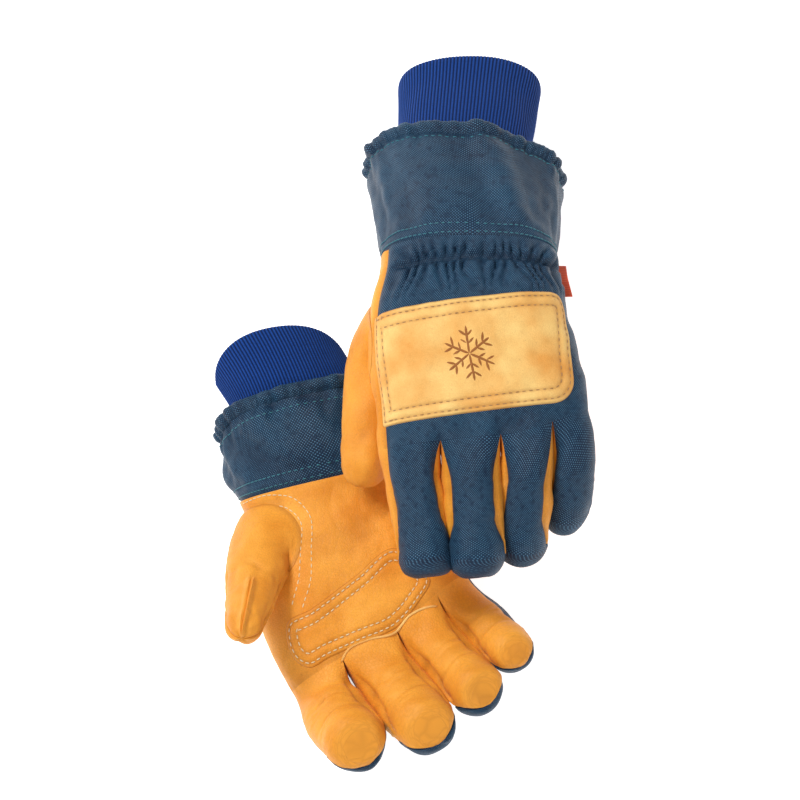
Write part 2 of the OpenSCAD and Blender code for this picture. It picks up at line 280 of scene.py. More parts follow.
def add(tree, kind, inputs=(), **settings):
    """A node with its settings; an input is a number, a colour or another node's output."""
    n = tree.nodes.new(kind)
    for key, value in settings.items():
        setattr(n, key, value)
    for key, value in dict(inputs).items():
        if isinstance(value, bpy.types.NodeSocket):
            tree.links.new(value, n.inputs[key])
        else:
            n.inputs[key].default_value = value
    return n


def start_material(name, roughness, sockets=()):
    """A new material: itself, its tree and its shader."""
    m = bpy.data.materials.new(name)
    m.use_nodes = True
    tree = m.node_tree
    shader = tree.nodes["Principled BSDF"]
    shader.inputs["Roughness"].default_value = roughness
    for key, value in dict(sockets).items():
        shader.inputs[key].default_value = value
    return m, tree, shader


def two_colours(tree, factor, low, high):
    """A mix of two colours, which may be hex codes or other nodes' outputs."""
    low, high = [srgb(c) if isinstance(c, str) else c for c in (low, high)]
    return add(tree, "ShaderNodeMix", {0: factor, 6: low, 7: high}, data_type="RGBA").outputs[2]


def spread(tree, value, low, high):
    """Stretch a noise's middle range over 0 to 1."""
    return add(tree, "ShaderNodeMapRange", {0: value, 1: low, 2: high}).outputs[0]


def grain_leather(name, light, dark, deep, pore_mm, roughness):
    """Full grain leather, drum dyed. The grain is a pebble of closed cells about a millimetre
    across, the dye mottles over centimetres, and painted shade darkens it in the seams and the
    creases."""
    m, tree, shader = start_material(
        name, roughness, {"Specular IOR Level": 0.3, "Sheen Weight": 0.05})
    place = add(tree, "ShaderNodeUVMap", uv_map="UVMap").outputs[0]
    patches = add(tree, "ShaderNodeTexNoise", {"Vector": place, "Scale": 1 / 26, "Detail": 4})
    spots = add(tree, "ShaderNodeTexNoise", {"Vector": place, "Scale": 1 / 3.2, "Detail": 6,
                                             "Roughness": 0.7})
    grain = add(tree, "ShaderNodeTexVoronoi", {"Vector": place, "Scale": 1 / pore_mm},
                feature="DISTANCE_TO_EDGE")
    fine = add(tree, "ShaderNodeTexNoise", {"Vector": place, "Scale": 1 / 0.6, "Detail": 3})
    painted_shade = add(tree, "ShaderNodeAttribute", attribute_name="painted_shade").outputs["Fac"]
    colour = two_colours(tree, spread(tree, patches.outputs[0], 0.35, 0.65), dark, light)
    colour = two_colours(tree, spread(tree, spots.outputs[0], 0.6, 0.95), colour, deep)
    pores = spread(tree, grain.outputs[0], 0.0, 0.16)
    dip = add(tree, "ShaderNodeMath", {0: 1.0, 1: pores}, operation="SUBTRACT").outputs[0]
    dip = add(tree, "ShaderNodeMath", {0: dip, 1: 0.16}, operation="MULTIPLY").outputs[0]
    colour = two_colours(tree, dip, colour, deep)
    # Painted shade: the seams and creases are mixed towards the deep colour.
    colour = two_colours(tree, painted_shade, colour, deep)
    tree.links.new(colour, shader.inputs["Base Color"])
    height = add(tree, "ShaderNodeMath", {0: pores, 1: fine.outputs[0]}, operation="ADD")
    bump = add(tree, "ShaderNodeBump", {"Height": height.outputs[0], "Strength": 0.35,
                                        "Distance": 0.00035})
    tree.links.new(bump.outputs[0], shader.inputs["Normal"])
    return m


cowhide = grain_leather("golden_grain_cowhide", "#f0a438", "#dc8a22", "#97560f", 1.3, 0.5)


SHARP = radians(60)   # an edge sharper than this stays sharp


def weld(mesh, drop_slivers=False):
    """Sew points that touch, and drop the faces that are left with no area."""
    b = bmesh.new()
    b.from_mesh(mesh)
    bmesh.ops.remove_doubles(b, verts=b.verts, dist=2e-6)
    if drop_slivers:
        bmesh.ops.dissolve_degenerate(b, edges=b.edges, dist=1e-7)
    b.to_mesh(mesh)
    b.free()


def thicken(obj, thick):
    """Give the active piece its cloth's or leather's thickness, in mm, inwards."""
    solid = obj.modifiers.new("thickness", "SOLIDIFY")
    solid.thickness, solid.offset = thick / 1000, -1
    bpy.ops.object.modifier_apply(modifier=solid.name)


def sheet(name, p, flat, painted_shade=None, flip=False, material=None, thick=0.0, merge=True):
    """A piece from a grid of points in metres, with a flat pattern in mm for its surface. Its
    painted shade, from 0 to 1, darkens it in the seams and creases, where shade falls."""
    if flip:
        p, flat = p[:, ::-1], flat[:, ::-1]
        painted_shade = None if painted_shade is None else painted_shade[:, ::-1]
    rows, cols = p.shape[:2]
    bpy.ops.mesh.primitive_grid_add(x_subdivisions=cols - 1, y_subdivisions=rows - 1, size=2)
    obj = bpy.context.object
    obj.name = name
    mesh = obj.data
    mesh.vertices.foreach_set("co", np.ascontiguousarray(p, np.float32).ravel())
    corner = np.empty(len(mesh.loops), np.int32)
    mesh.loops.foreach_get("vertex_index", corner)
    uv = np.ascontiguousarray(flat.reshape(-1, 2)[corner], np.float32)
    mesh.uv_layers[0].data.foreach_set("uv", uv.ravel())
    # Painted shade: a point layer that the materials mix towards their darkest colour.
    shade_layer = mesh.attributes.new("painted_shade", "FLOAT", "POINT")
    if painted_shade is not None:
        shade_layer.data.foreach_set("value", np.ascontiguousarray(painted_shade, np.float32).ravel())
    mesh.update()
    if merge:
        weld(mesh, drop_slivers=True)
    if thick:
        thicken(obj, thick)
    bpy.ops.object.shade_smooth_by_angle(angle=SHARP)
    if material:
        obj.data.materials.clear()
        obj.data.materials.append(material)
    obj.select_set(False)
    return obj


def even(start, end, step):
    """Even places from start to end, about a step apart."""
    return np.linspace(start, end, max(2, int(round(abs(end - start) / step)) + 1))


SHELL_T = 1.2         # thickness of the leather and of the coated nylon
HAND_STEP = 1.15      # distance between the points of a hand's mesh


def hand_panel(g, name, start, end, material, lift=0.0, thick=SHELL_T, step=HAND_STEP):
    """A panel of the hand between two angles, from the fingers' roots to the gauntlet seam."""
    angle = to_angle(g, even(to_mm(g, start), to_mm(g, end), step))[None]
    share = even(0, 1, step / 100)[:, None]
    front = hand_front(g, angle)
    y = front + (WRIST_Y[g] - front) * share
    p = hand_skin(g, y, angle, lift)
    flat = np.stack([np.broadcast_to(to_mm(g, angle), y.shape), y], -1)
    # Painted shade: darker where the relief dips into seams, pleats and creases.
    painted_shade = 0.45 * np.clip(-hand_relief(g, y, angle) / 1.6, 0, 1)
    return sheet(name, on_table(g, p), flat, painted_shade, flip=g == RIGHT, material=material, thick=thick)


for g in (LEFT, RIGHT):
    side = SIDES[g]
    palm = hand_panel(g, side + "_palm", SEAM_TO, SEAM_FROM + 360, cowhide)
    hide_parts(side + "_palm_leather")
    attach(palm, side + "_hand")

# ---- Woven backs ----
# The back of each hand is a coated nylon oxford, woven of navy warp and teal weft. An elastic
# sewn inside it at the wrist gathers it into short pleats.


def woven_nylon(name, warp, weft, painted_glint, pitch_mm, roughness=0.42):
    """Coated nylon oxford. Its threads are about half a millimetre apart, drawn here at about a
    millimetre so that they show; each crossing carries a painted highlight, a pale dash."""
    m, tree, shader = start_material(
        name, roughness, {"Specular IOR Level": 0.22, "Sheen Weight": 0.02})
    place = add(tree, "ShaderNodeUVMap", uv_map="UVMap").outputs[0]
    split = add(tree, "ShaderNodeSeparateXYZ", {0: place})
    wavy = []
    for axis in (0, 1):
        turns = add(tree, "ShaderNodeMath", {0: split.outputs[axis], 1: pi / pitch_mm},
                    operation="MULTIPLY").outputs[0]
        wavy.append(add(tree, "ShaderNodeMath", {0: turns}, operation="SINE").outputs[0])
    cross = add(tree, "ShaderNodeMath", {0: wavy[0], 1: wavy[1]}, operation="MULTIPLY").outputs[0]
    top = add(tree, "ShaderNodeMath", {0: cross}, operation="ABSOLUTE").outputs[0]
    patches = add(tree, "ShaderNodeTexNoise", {"Vector": place, "Scale": 1 / 30, "Detail": 3})
    threads = add(tree, "ShaderNodeTexNoise", {"Vector": place, "Scale": 1 / 3, "Detail": 2})
    painted_shade = add(tree, "ShaderNodeAttribute", attribute_name="painted_shade").outputs["Fac"]
    base = two_colours(tree, spread(tree, patches.outputs[0], 0.3, 0.7), warp, weft)
    # Painted highlight: a pale glint painted at the threads' crossings, patchy along the threads.
    painted_glint_mask = add(tree, "ShaderNodeMath", {0: spread(tree, cross, 0.35, 0.95),
                                         1: spread(tree, threads.outputs[0], 0.25, 0.5)},
                operation="MULTIPLY").outputs[0]
    colour = two_colours(tree, painted_glint_mask, base, painted_glint)
    # Painted shade: seams, pleats and fold valleys are mixed towards dark navy.
    colour = two_colours(tree, painted_shade, colour, "#0d2036")
    tree.links.new(colour, shader.inputs["Base Color"])
    bump = add(tree, "ShaderNodeBump", {"Height": top, "Strength": 0.5, "Distance": 0.0003})
    tree.links.new(bump.outputs[0], shader.inputs["Normal"])
    return m


nylon = woven_nylon("navy_nylon_oxford", "#081a33", "#0b304a", "#5586a6", 0.58)

for g in (LEFT, RIGHT):
    side = SIDES[g]
    back = hand_panel(g, side + "_back", SEAM_FROM, SEAM_TO, nylon)
    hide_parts(side + "_hand_back")
    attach(back, side + "_hand")

# ---- Fingers ----
# Each finger has a leather front and a woven back that meet over its tip, and leather strips
# between it and its neighbours. All of them run out of the hand's own skin at its front edge.
# Fingers and thumb from their hinges: [x, y, z, turn, pitch, curl, length, half width, back, palm]
FINGER_TABLE = [
    [[38.5, 7, -1, 8, -6, 13, 62, 13.2, 13.5, 13], [9, 7, 1, 2, -7, 16, 64, 13.8, 14, 13.5],
     [-19.5, 5, 0, -4, -12, 40, 60, 12.6, 13, 12.5], [-43, -1, -6, -6, -14, 46, 50, 10.8, 12, 11.5],
     [56, -52, -15, -5, 0, 8, 70, 15, 14, 13]],
    [[40, 5.5, 0, 8, -11, 64, 62, 13.2, 13.5, 13], [8, 5.5, 0, 6, -6, 58, 64, 13.8, 14, 13.5],
     [-20, 3.5, 0, 9, -6, 56, 60, 12.6, 13, 12.5], [-44.5, 0.5, 0, 10, -6, 58, 50, 10.8, 12, 11.5],
     [31, -75, -12, -37, -24, 16, 70, 17.5, 15, 14]],
]
THUMB = 4
TIP_ROUND = 13       # length of a tip beyond the finger's body
TIP_WIDE = [[1.0, 1.03, 1.0, 1.0], [1.18, 1.1, 1.06, 1.04]]   # against the root's width
TIP_BLUNT = [0.56, 0.32]   # the lower, the squarer the tip
THUMB_TIP_WIDE, THUMB_BLUNT = [0.78, 0.54], 0.95
PLUMP = [0.05, 0.15]       # how much wider a finger is at its middle
# Where the two panels meet on the tip: below 0 on its palm side, above 0 on its back.
TIP_MEET = [[-0.2] * 4, [0.2, 0.1, 0.07, 0.12]]
# Curled leather is drawn up: the share of its length that a finger keeps.
SHORTER = [[0.97, 0.93, 0.94, 0.91], [0.76, 0.91, 0.92, 0.94]]
TURN_MORE = [[1.5, 1.5, 0, -2], [-5.5, -1, 0.5, 1.5]]   # degrees, so that the fingers lie together
# Angles round a finger where its panels meet: back from, back to, front from, front to. The
# strips lie within STRIP degrees of its two sides.
STRIP = 34
BETWEEN = (STRIP, 180 - STRIP, 180 + STRIP, 360 - STRIP)
PANELS = [(24, 180 - STRIP, 180 + STRIP, 384), BETWEEN, BETWEEN, (STRIP, 200, 200, 360 - STRIP)]
THUMB_SEAMS = [-5, 185]
CAP_FROM = 8         # where on the tip's quarter turn, in degrees, the strips have run out
LOFT = 17            # length over which a finger grows out of the hand
STRIP_T = 0.6        # the strips' leather is pared thin
THUMB_LIP = 272      # angle round the thumb of the pinched seam over its end


def off(angle, seam):
    """Degrees round from a seam to an angle, from -180 to 180."""
    return (angle - seam + 180) % 360 - 180


def finger_form(g, i, s, tip, angle, lift=0.0):
    """Rings along a finger at length s; past its body they close over the tip, by tip degrees."""
    x, y, z, turn, pitch, curl, length, half, back, palm = FINGER_TABLE[g][i]
    body = length - TIP_ROUND
    share = np.clip(s / body, 0, 1)
    turn = turn + (TURN_MORE[g][i] if i != THUMB else 0)
    if i != THUMB:
        # The strips between the fingers narrow to a point towards the tips.
        pull = smooth((share - 0.66) / 0.34) * 28 - 9 * np.sin(pi * np.clip(share / 0.9, 0, 1))
        aside = (angle + 90) % 180 - 90
        angle = angle - pull * np.sign(aside) * np.where(
            np.abs(aside) < STRIP, np.abs(aside) / STRIP, (90 - np.abs(aside)) / (90 - STRIP))
    # Over the tip, move the point where the rings close to where the panels meet.
    ring = np.tan(np.radians(90 - tip) / 2) * np.exp(1j * np.radians(angle))
    ring = ring + (1j * TIP_MEET[g][i] * (1 - np.abs(ring) ** 2) if i != THUMB else 0)
    over = 90 - 2 * np.degrees(np.arctan(np.abs(ring)))
    angle = np.where(tip > 0, np.degrees(np.angle(ring)), angle)
    tip = np.where(tip > 0, over, tip)
    s = np.where(tip > 0, body + (TIP_ROUND + lift) * np.sin(np.radians(tip)), s)
    if i == THUMB:
        wide, blunt, plump = THUMB_TIP_WIDE[g], THUMB_BLUNT, 1
    else:
        wide, blunt = TIP_WIDE[g][i], TIP_BLUNT[g]
        plump = 1 + PLUMP[g] * np.sin(pi * share ** 0.75)
    width = np.where(tip > 0, wide * np.cos(np.radians(tip)) ** blunt,
                     (1 - (1 - wide) * share) * plump)
    s = s * (SHORTER[g][i] if i != THUMB else 1)
    rate = curl / length
    here = pitch - rate * s
    ahead = (sin(radians(pitch)) - np.sin(np.radians(here))) / radians(rate)
    rise = (np.cos(np.radians(here)) - cos(radians(pitch))) / radians(rate)
    centre = [x - sin(radians(turn)) * ahead, y + cos(radians(turn)) * ahead, z + rise]
    return ring_points(centre, turn + 0 * here, here, width * (half + lift),
                       width * (back + lift), width * (palm + lift), 2.0, angle)


def finger_root(g, i, reach, angle, lift=0.0):
    """The part of the hand's skin that a finger grows out of, run ahead by some mm."""
    start, back_to, front_from, end = PANELS[i]
    high = crotch_angle(g, i - 1) if i > 0 else SEAM_FROM
    low = crotch_angle(g, i) if i < 3 else SEAM_TO
    under_low = 360 - low if i < 3 else SEAM_TO
    under_high = 360 - high if i > 0 else SEAM_FROM + 360
    a = np.where(angle < start, angle + 360, angle)
    on_hand = np.interp(a, [start, back_to, front_from, end], [high, low, under_low, under_high])
    p = hand_skin(g, hand_front(g, on_hand) + reach, on_hand, lift)
    for a0, a1, top, under in ((back_to, front_from, low, under_low),
                               (end, start + 360, high, under_high)):
        inside = (a > a0) & (a < a1)
        if a1 - a0 > 1 and inside.any():
            at_top = hand_skin(g, hand_front(g, np.array(top)) + reach, top + 0 * a, lift)
            at_under = hand_skin(g, hand_front(g, np.array(under)) + reach, under + 0 * a, lift)
            share = smooth((a - a0) / (a1 - a0)) if top == low else 1 - smooth((a - a0) / (a1 - a0))
            wall = at_top + (at_under - at_top) * share[..., None]
            p = np.where(inside[..., None], wall, p)
    return p


def finger_relief(g, i, s, tip, angle, length, radius):
    """Seams, plump panels, bends and wrinkles of a finger."""
    seed = 100 + 10 * i + 50 * g
    seams = THUMB_SEAMS if i == THUMB else sorted({q % 360 for q in PANELS[i]})
    edge = radius * np.radians(np.min([np.abs(off(angle, q)) for q in seams], axis=0))
    if i != THUMB:
        # Past the strips' ends, one seam goes over the tip from side to side.
        side = np.minimum(np.abs(off(angle, 0)), np.abs(off(angle, 180)))
        edge = np.where(tip > CAP_FROM, radius * np.radians(side) * np.cos(np.radians(tip)), edge)
    u = radius * np.radians(angle)
    palm = np.maximum(-np.sin(np.radians(angle)), 0)
    out = 0.55 - 1.35 * near(edge, 1.7)
    out = out + 0.4 * noise(seed, u, s, 22) + 0.12 * noise(seed + 1, u, s, 9)
    out = out - 0.22 * creases(seed + 2, u * 0.6, s * 1.3, 24, 0.2)
    bends = (0.34, 0.63)
    if i == THUMB:
        bends = (0.4,)
        # The leather over the end of the thumb is pinched into a lip and sewn shut.
        aside = radius * np.radians(off(angle, THUMB_LIP)) * (1 - 0.4 * s / length)
        lip = smooth((s / length - 0.46) / 0.1) * smooth((1.08 - s / length) / 0.1)
        out = out + lip * (2.8 * near(aside, 2.3) - 2.2 * near(aside - 0.2, 0.65))
    for k in bends:
        wave = s - k * length - 1.6 * noise(seed + 3, u, 0, 16)
        out = out - [0.5, 0.7][g] * near(wave, 2.0) * palm
        out = out - 0.3 * near(wave - 5, 1.5) * palm
    return out


def push_out(p, relief, gain):
    """A grid that is closed round, moved out along its normals by gain times its relief."""
    ring = p[:, :-1]
    step = np.roll(ring, -1, 1) - np.roll(ring, 1, 1)
    step = np.concatenate([step, step[:, :1]], 1)
    return p + unit(np.cross(np.gradient(p, axis=0), step)) * (relief * gain)[..., None]


def finger_grid(g, i, lift=0.0, step=1.1, rough=True):
    """A finger: its grid of points, flat pattern, painted shade, angles, and the row the strips end
    at.
    """
    length, radius = FINGER_TABLE[g][i][6:8]
    body = length - TIP_ROUND
    s = even(0, body + LOFT * 0.15, step) - LOFT * 0.15
    tips = even(0, 90, 4.5 * step)[1:]
    cap_row = int(np.argmin(np.abs(tips - CAP_FROM)))
    tips[cap_row] = CAP_FROM
    marks = sorted({q % 360 for q in PANELS[i]})
    marks = marks + [marks[0] + 360]
    angle = np.concatenate([even(a, b, np.degrees(step / radius))[:-1]
                            for a, b in zip(marks, marks[1:])] + [[marks[-1]]])
    s_all = np.concatenate([s, np.full(len(tips), body)])[:, None]
    tip = np.concatenate([0 * s, tips])[:, None]
    start = s[0]
    angle = angle[None] + 0 * s_all
    s_all, tip = s_all + 0 * angle, tip + 0 * angle
    p = finger_form(g, i, s_all, tip, angle, lift)
    root = finger_root(g, i, np.clip(s_all - start, 0, LOFT), angle, lift)
    out = np.clip((s_all - start) / LOFT, 0, 1)
    # Beside a neighbour the finger takes its own form sooner, so that the slit opens at once.
    beside = [STRIP] * (i > 0) + [180 - STRIP] * (i < 3)
    slit = np.max([near(off(angle, q), 26) for q in beside], axis=0)
    share = (smooth(out) * (1 - slit) + (out * (2 - out)) ** 0.85 * slit)[..., None]
    p = root * (1 - share) + p * share
    run = np.where(tip > 0, body + TIP_ROUND * np.radians(tip), s_all)
    relief = finger_relief(g, i, run, tip, angle, length, radius)
    if rough:
        p = push_out(p, relief, smooth(out) * smooth((90 - tip) / 12))
    p[:, -1] = p[:, 0]
    flat = np.stack([radius * np.radians(angle), run], -1)
    # Painted shade: darker where the seams and bends sink in.
    painted_shade = 0.5 * np.clip(-relief / 1.3, 0, 1) * share[..., 0]
    return lie(g, p, 0.2 - lift), flat, painted_shade, angle[0], len(s) + cap_row


def column(angles, a):
    """The column of a grid at an angle."""
    return int(np.argmin(np.abs(angles - a)))


def join(name, parts):
    """Make one object of several."""
    for o in parts:
        o.select_set(True)
    bpy.context.view_layer.objects.active = parts[0]
    bpy.ops.object.join()
    obj = bpy.context.object
    obj.name = name
    obj.select_set(False)
    return obj


def blend_finger(obj):
    """Bakes a piece's placement into its mesh."""
    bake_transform(obj)


for g in (LEFT, RIGHT):
    side = SIDES[g]
    flip = g == LEFT
    for i in range(4):
        p, flat, painted_shade, angles, cap = finger_grid(g, i)
        p = on_table(g, p)
        start, back_to, front_from, end = PANELS[i]
        turned = np.concatenate([angles[:-1], angles + 360])

        def cut(name, a0, a1, r0, r1, material):
            """A panel of the finger between two angles and two rows, with its own flat pattern,
            which narrows over the tip."""
            extra = 0 if a0 >= angles[0] else 360
            cols = np.arange(column(turned, a0 + extra), column(turned, a1 + extra) + 1)
            pick = cols % (len(angles) - 1)
            length, radius = FINGER_TABLE[g][i][6:8]
            uv = flat[r0:r1 + 1][:, pick].copy()
            over = np.clip(uv[..., 1] - length + TIP_ROUND, 0, None) / TIP_ROUND
            aside = np.radians(turned[cols] - (a0 + a1) / 2)
            uv[..., 0] = radius * aside * np.cos(np.minimum(over, pi / 2))
            return sheet(name, p[r0:r1 + 1][:, pick], uv, painted_shade[r0:r1 + 1][:, pick], flip=flip,
                         material=material, merge=False)

        base = side + "_" + FINGERS[i]
        last = len(p) - 1
        front = join(base + "_leather", [cut(base + "_l", front_from, end, 0, cap, cowhide),
                                         cut(base + "_m", 180, 360, cap, last, cowhide)])
        back = join(base + "_woven", [cut(base + "_w", start, back_to, 0, cap, nylon),
                                      cut(base + "_c", 0, 180, cap, last, nylon)])
        strips = []
        if i > 0:
            strips.append(cut(base + "_s", end, start + 360, 0, cap, cowhide))
        if i < 3:
            strips.append(cut(base + "_t", back_to, front_from, 0, cap, cowhide))
        strip = join(base + "_strips", strips)
        for obj, node, slot in ((front, "front", "grain_leather"), (back, "back", "woven_nylon"),
                                (strip, "fourchette", "grain_leather")):
            weld(obj.data)
            bpy.context.view_layer.objects.active = obj
            thicken(obj, SHELL_T if obj != strip else STRIP_T)
            obj.select_set(True)
            bpy.ops.object.shade_smooth_by_angle(angle=SHARP)
            obj.select_set(False)
            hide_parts(base + "_" + node)
            blend_finger(obj)

# ---- Thumbs ----
# The thumb is all leather, a front and a back panel, set into the palm on a curved seam and
# sewn there with two rows of thread.
# Where its root is sewn to the hand: [thumb's angle, y along the hand, angle round the hand].
THUMB_ROOT = [
    np.array([[0, -76, 352], [90, -58, 376], [180, -38, 356], [270, -56, 326], [360, -76, 352]],
             float),
    np.array([[0, -84, 350], [90, -66, 378], [180, -38, 345], [225, -51, 300], [270, -68, 290],
              [315, -83, 306], [360, -84, 350]], float),
]
THUMB_LOFT = 26      # length over which it takes its own form
THUMB_START = -6     # where its sewn root is, from the hinge


def thumb_grid(g, lift=0.0, step=1.2, rough=True):
    """A thumb: its grid of points, flat pattern, painted shade and angles."""
    length, radius = FINGER_TABLE[g][THUMB][6:8]
    body = length - TIP_ROUND
    s = even(THUMB_START, body, step)
    tips = even(0, 90, 4.0 * step)[1:]
    near_seam, far_seam = THUMB_SEAMS
    angle = np.concatenate([even(near_seam, far_seam, np.degrees(step / radius))[:-1],
                            even(far_seam, near_seam + 360, np.degrees(step / radius))])
    s_all = np.concatenate([s, np.full(len(tips), body)])[:, None]
    tip = np.concatenate([0 * s, tips])[:, None]
    angle = angle[None] + 0 * s_all
    s_all, tip = s_all + 0 * angle, tip + 0 * angle
    p = finger_form(g, THUMB, s_all, tip, angle, lift)
    root = THUMB_ROOT[g]
    knots = np.concatenate([root[:-1, 0] - 360, root[:, 0], root[1:, 0] + 360])
    root_y, root_angle = [
        spline(knots, np.concatenate([root[:-1, k], root[:, k], root[1:, k]]), angle % 360)
        for k in (1, 2)]
    base = hand_skin(g, root_y, root_angle, 0.3 + lift)
    beyond = s_all - THUMB_START
    u = np.clip(beyond / THUMB_LOFT, 0, 1)
    share = (u * (2 - u))[..., None]
    p = base * (1 - share) + p * share
    run = np.where(tip > 0, body + TIP_ROUND * np.radians(tip), s_all)
    relief = finger_relief(g, THUMB, run, tip, angle, length, radius)
    if rough:
        p = push_out(p, relief, smooth(beyond / 12) * smooth((90 - tip) / 12))
    p[:, -1] = p[:, 0]
    flat = np.stack([radius * np.radians(angle), run], -1)
    # Painted shade: darker where the seams and bends sink in, and at the root where it is sewn into
    # the hand.
    painted_shade = 0.5 * np.clip(-relief / 1.3, 0, 1) + 0.5 * near(beyond, 2.0)
    return p, flat, painted_shade, angle[0]


for g in (LEFT, RIGHT):
    side = SIDES[g]
    p, flat, painted_shade, angles = thumb_grid(g)
    p = on_table(g, p)
    seam = column(angles, THUMB_SEAMS[1])
    for name, node, cols in (("thumb_nail_side", "thumb_back", slice(0, seam + 1)),
                             ("thumb_pad_side", "thumb_front", slice(seam, None))):
        obj = sheet(side + "_" + name, p[:, cols], flat[:, cols], painted_shade[:, cols], flip=g == LEFT,
                    material=cowhide, thick=SHELL_T)
        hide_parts(side + "_" + node)
        blend_finger(obj)

# ---- Gauntlets ----
# A flared sleeve of the same woven nylon, sewn to the hand's wrist end and folded by its own
# weight. Its mouth is gathered on an elastic inside a rolled binding.
# Rings along the sleeve, as for the hand, with how far each one's palm side is ahead.
GAUNTLET_PATH = [
    np.array([
        [-88, 9, 0, 2, 14, 44.5, 22.5, 21, 0], [-99, 9, -4, 0, 20, 44, 23, 22, 0],
        [-120, 10, -15.5, -2, 30, 46, 27, 26, 0], [-138, 11.5, -26, -4, 31, 48, 29, 28, 0],
        [-154, 12.5, -35.5, -5, 31, 50, 30, 30, 0]], float),
    np.array([
        [-78, -9, 0, -12, 6, 43.5, 22.5, 21, 0], [-88, -11, 0, -14.5, 8, 43.5, 22.5, 22, 0],
        [-103, -14.5, -1, -15, 4, 46, 24, 25, -0.15], [-114, -18, -2, -15, 2, 48, 24, 26, -0.3],
        [-125, -21.5, -3, -16, 0, 49, 25, 26, -0.45]], float),
]
MOUTH_Y = [-150, -121]
FOLD_DEEP = [1.8, 2.3]
FOLD_SLANT = [0.25, -0.95]   # how the folds run round the sleeve on their way to its mouth
CUFF_GAP = 1.4               # from the sleeve's underside to the table
SLEEVE_R = 40                # radius at which its cloth's pattern is drawn


def cuff_form(g, path, y, angle, lift=0.0):
    """The plain form of a sleeve, which grows rounder away from the wrist."""
    y, angle = np.broadcast_arrays(np.asarray(y, float), np.asarray(angle, float))
    square = HAND_SQUARE - 0.3 * smooth((WRIST_Y[g] - y) / 20)
    p = path_form(path, y, angle, square, lift)
    return settle(p, TABLE_Z - CUFF_GAP + min(lift, 0)) if g == RIGHT else p


def gauntlet_relief(g, y, angle):
    """Its long slanting folds, the ripples at its mouth, and its seams, in mm."""
    down = WRIST_Y[g] - y
    wrap = np.radians(angle)
    fold = 0
    draw = np.random.default_rng(70 + g)
    for k in (3, 5, 7, 9, 13):
        phase, twist = draw.uniform(0, 2 * pi), draw.uniform(0.6, 1.4)
        fold = fold + np.sin(k * wrap + phase
                             + k * FOLD_SLANT[g] * twist * down / 26) / k ** 0.5
    ripple = 0
    for k in (17, 26, 37):
        phase = draw.uniform(0, 2 * pi)
        ripple = ripple + np.sin(k * wrap + phase + 0.02 * k * down / 5)
    to_mouth = y - MOUTH_Y[g]
    tight = smooth(1 - to_mouth / 16)
    body = smooth(down / 14) * (FOLD_DEEP[g] * np.sign(fold) * np.abs(fold) ** 0.8 + 0.35)
    out = body + 0.38 * ripple * tight - 1.6 * near(to_mouth - 2.0, 3.0)
    out = out + 0.25 * noise(75 + g, SLEEVE_R * np.sin(wrap), y, 12) * smooth(down / 10)
    return out - 1.3 * near(down + 0.5, 2.2) - 0.3 * near(down - 5.5, 2.0)


def gauntlet_skin(g, y, angle, lift=0.0):
    """The finished skin of the sleeve."""
    form = lambda v, a: cuff_form(g, GAUNTLET_PATH[g], v, a)
    p = on_skin(form, lambda v, a: gauntlet_relief(g, v, a), y, angle, lift)
    return lie(g, p, CUFF_GAP - 0.4 - min(lift, 0))


def blend_cuff(obj, g):
    """Reads the sleeve's path at two places about the wrist, which nothing uses, and bakes a
    piece's placement into its mesh.
    """
    path = GAUNTLET_PATH[g][::-1]
    for y in (WRIST_Y[g] + 1, WRIST_Y[g] - 26):
        x, z = [float(spline(path[:, 0], path[:, k], np.array(y))) for k in (1, 2)]
    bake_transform(obj)


for g in (LEFT, RIGHT):
    side = SIDES[g]
    angle = even(0, 360, 1.5)[None]
    y = even(WRIST_Y[g] + 1.5, MOUTH_Y[g], 0.95)[:, None]
    p = gauntlet_skin(g, y, angle)
    p[:, -1] = p[:, 0]
    flat = np.stack([np.radians(angle) * SLEEVE_R + 0 * y, y + 0 * angle], -1)
    # Painted shade: darker in the valleys of the folds.
    painted_shade = 0.45 * np.clip(-gauntlet_relief(g, y, angle) / 2.2, 0, 1)
    sleeve = sheet(side + "_sleeve", on_table(g, p), flat, painted_shade, flip=g == RIGHT, material=nylon,
                   thick=1.0)
    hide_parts(side + "_gauntlet")
    blend_cuff(sleeve, g)

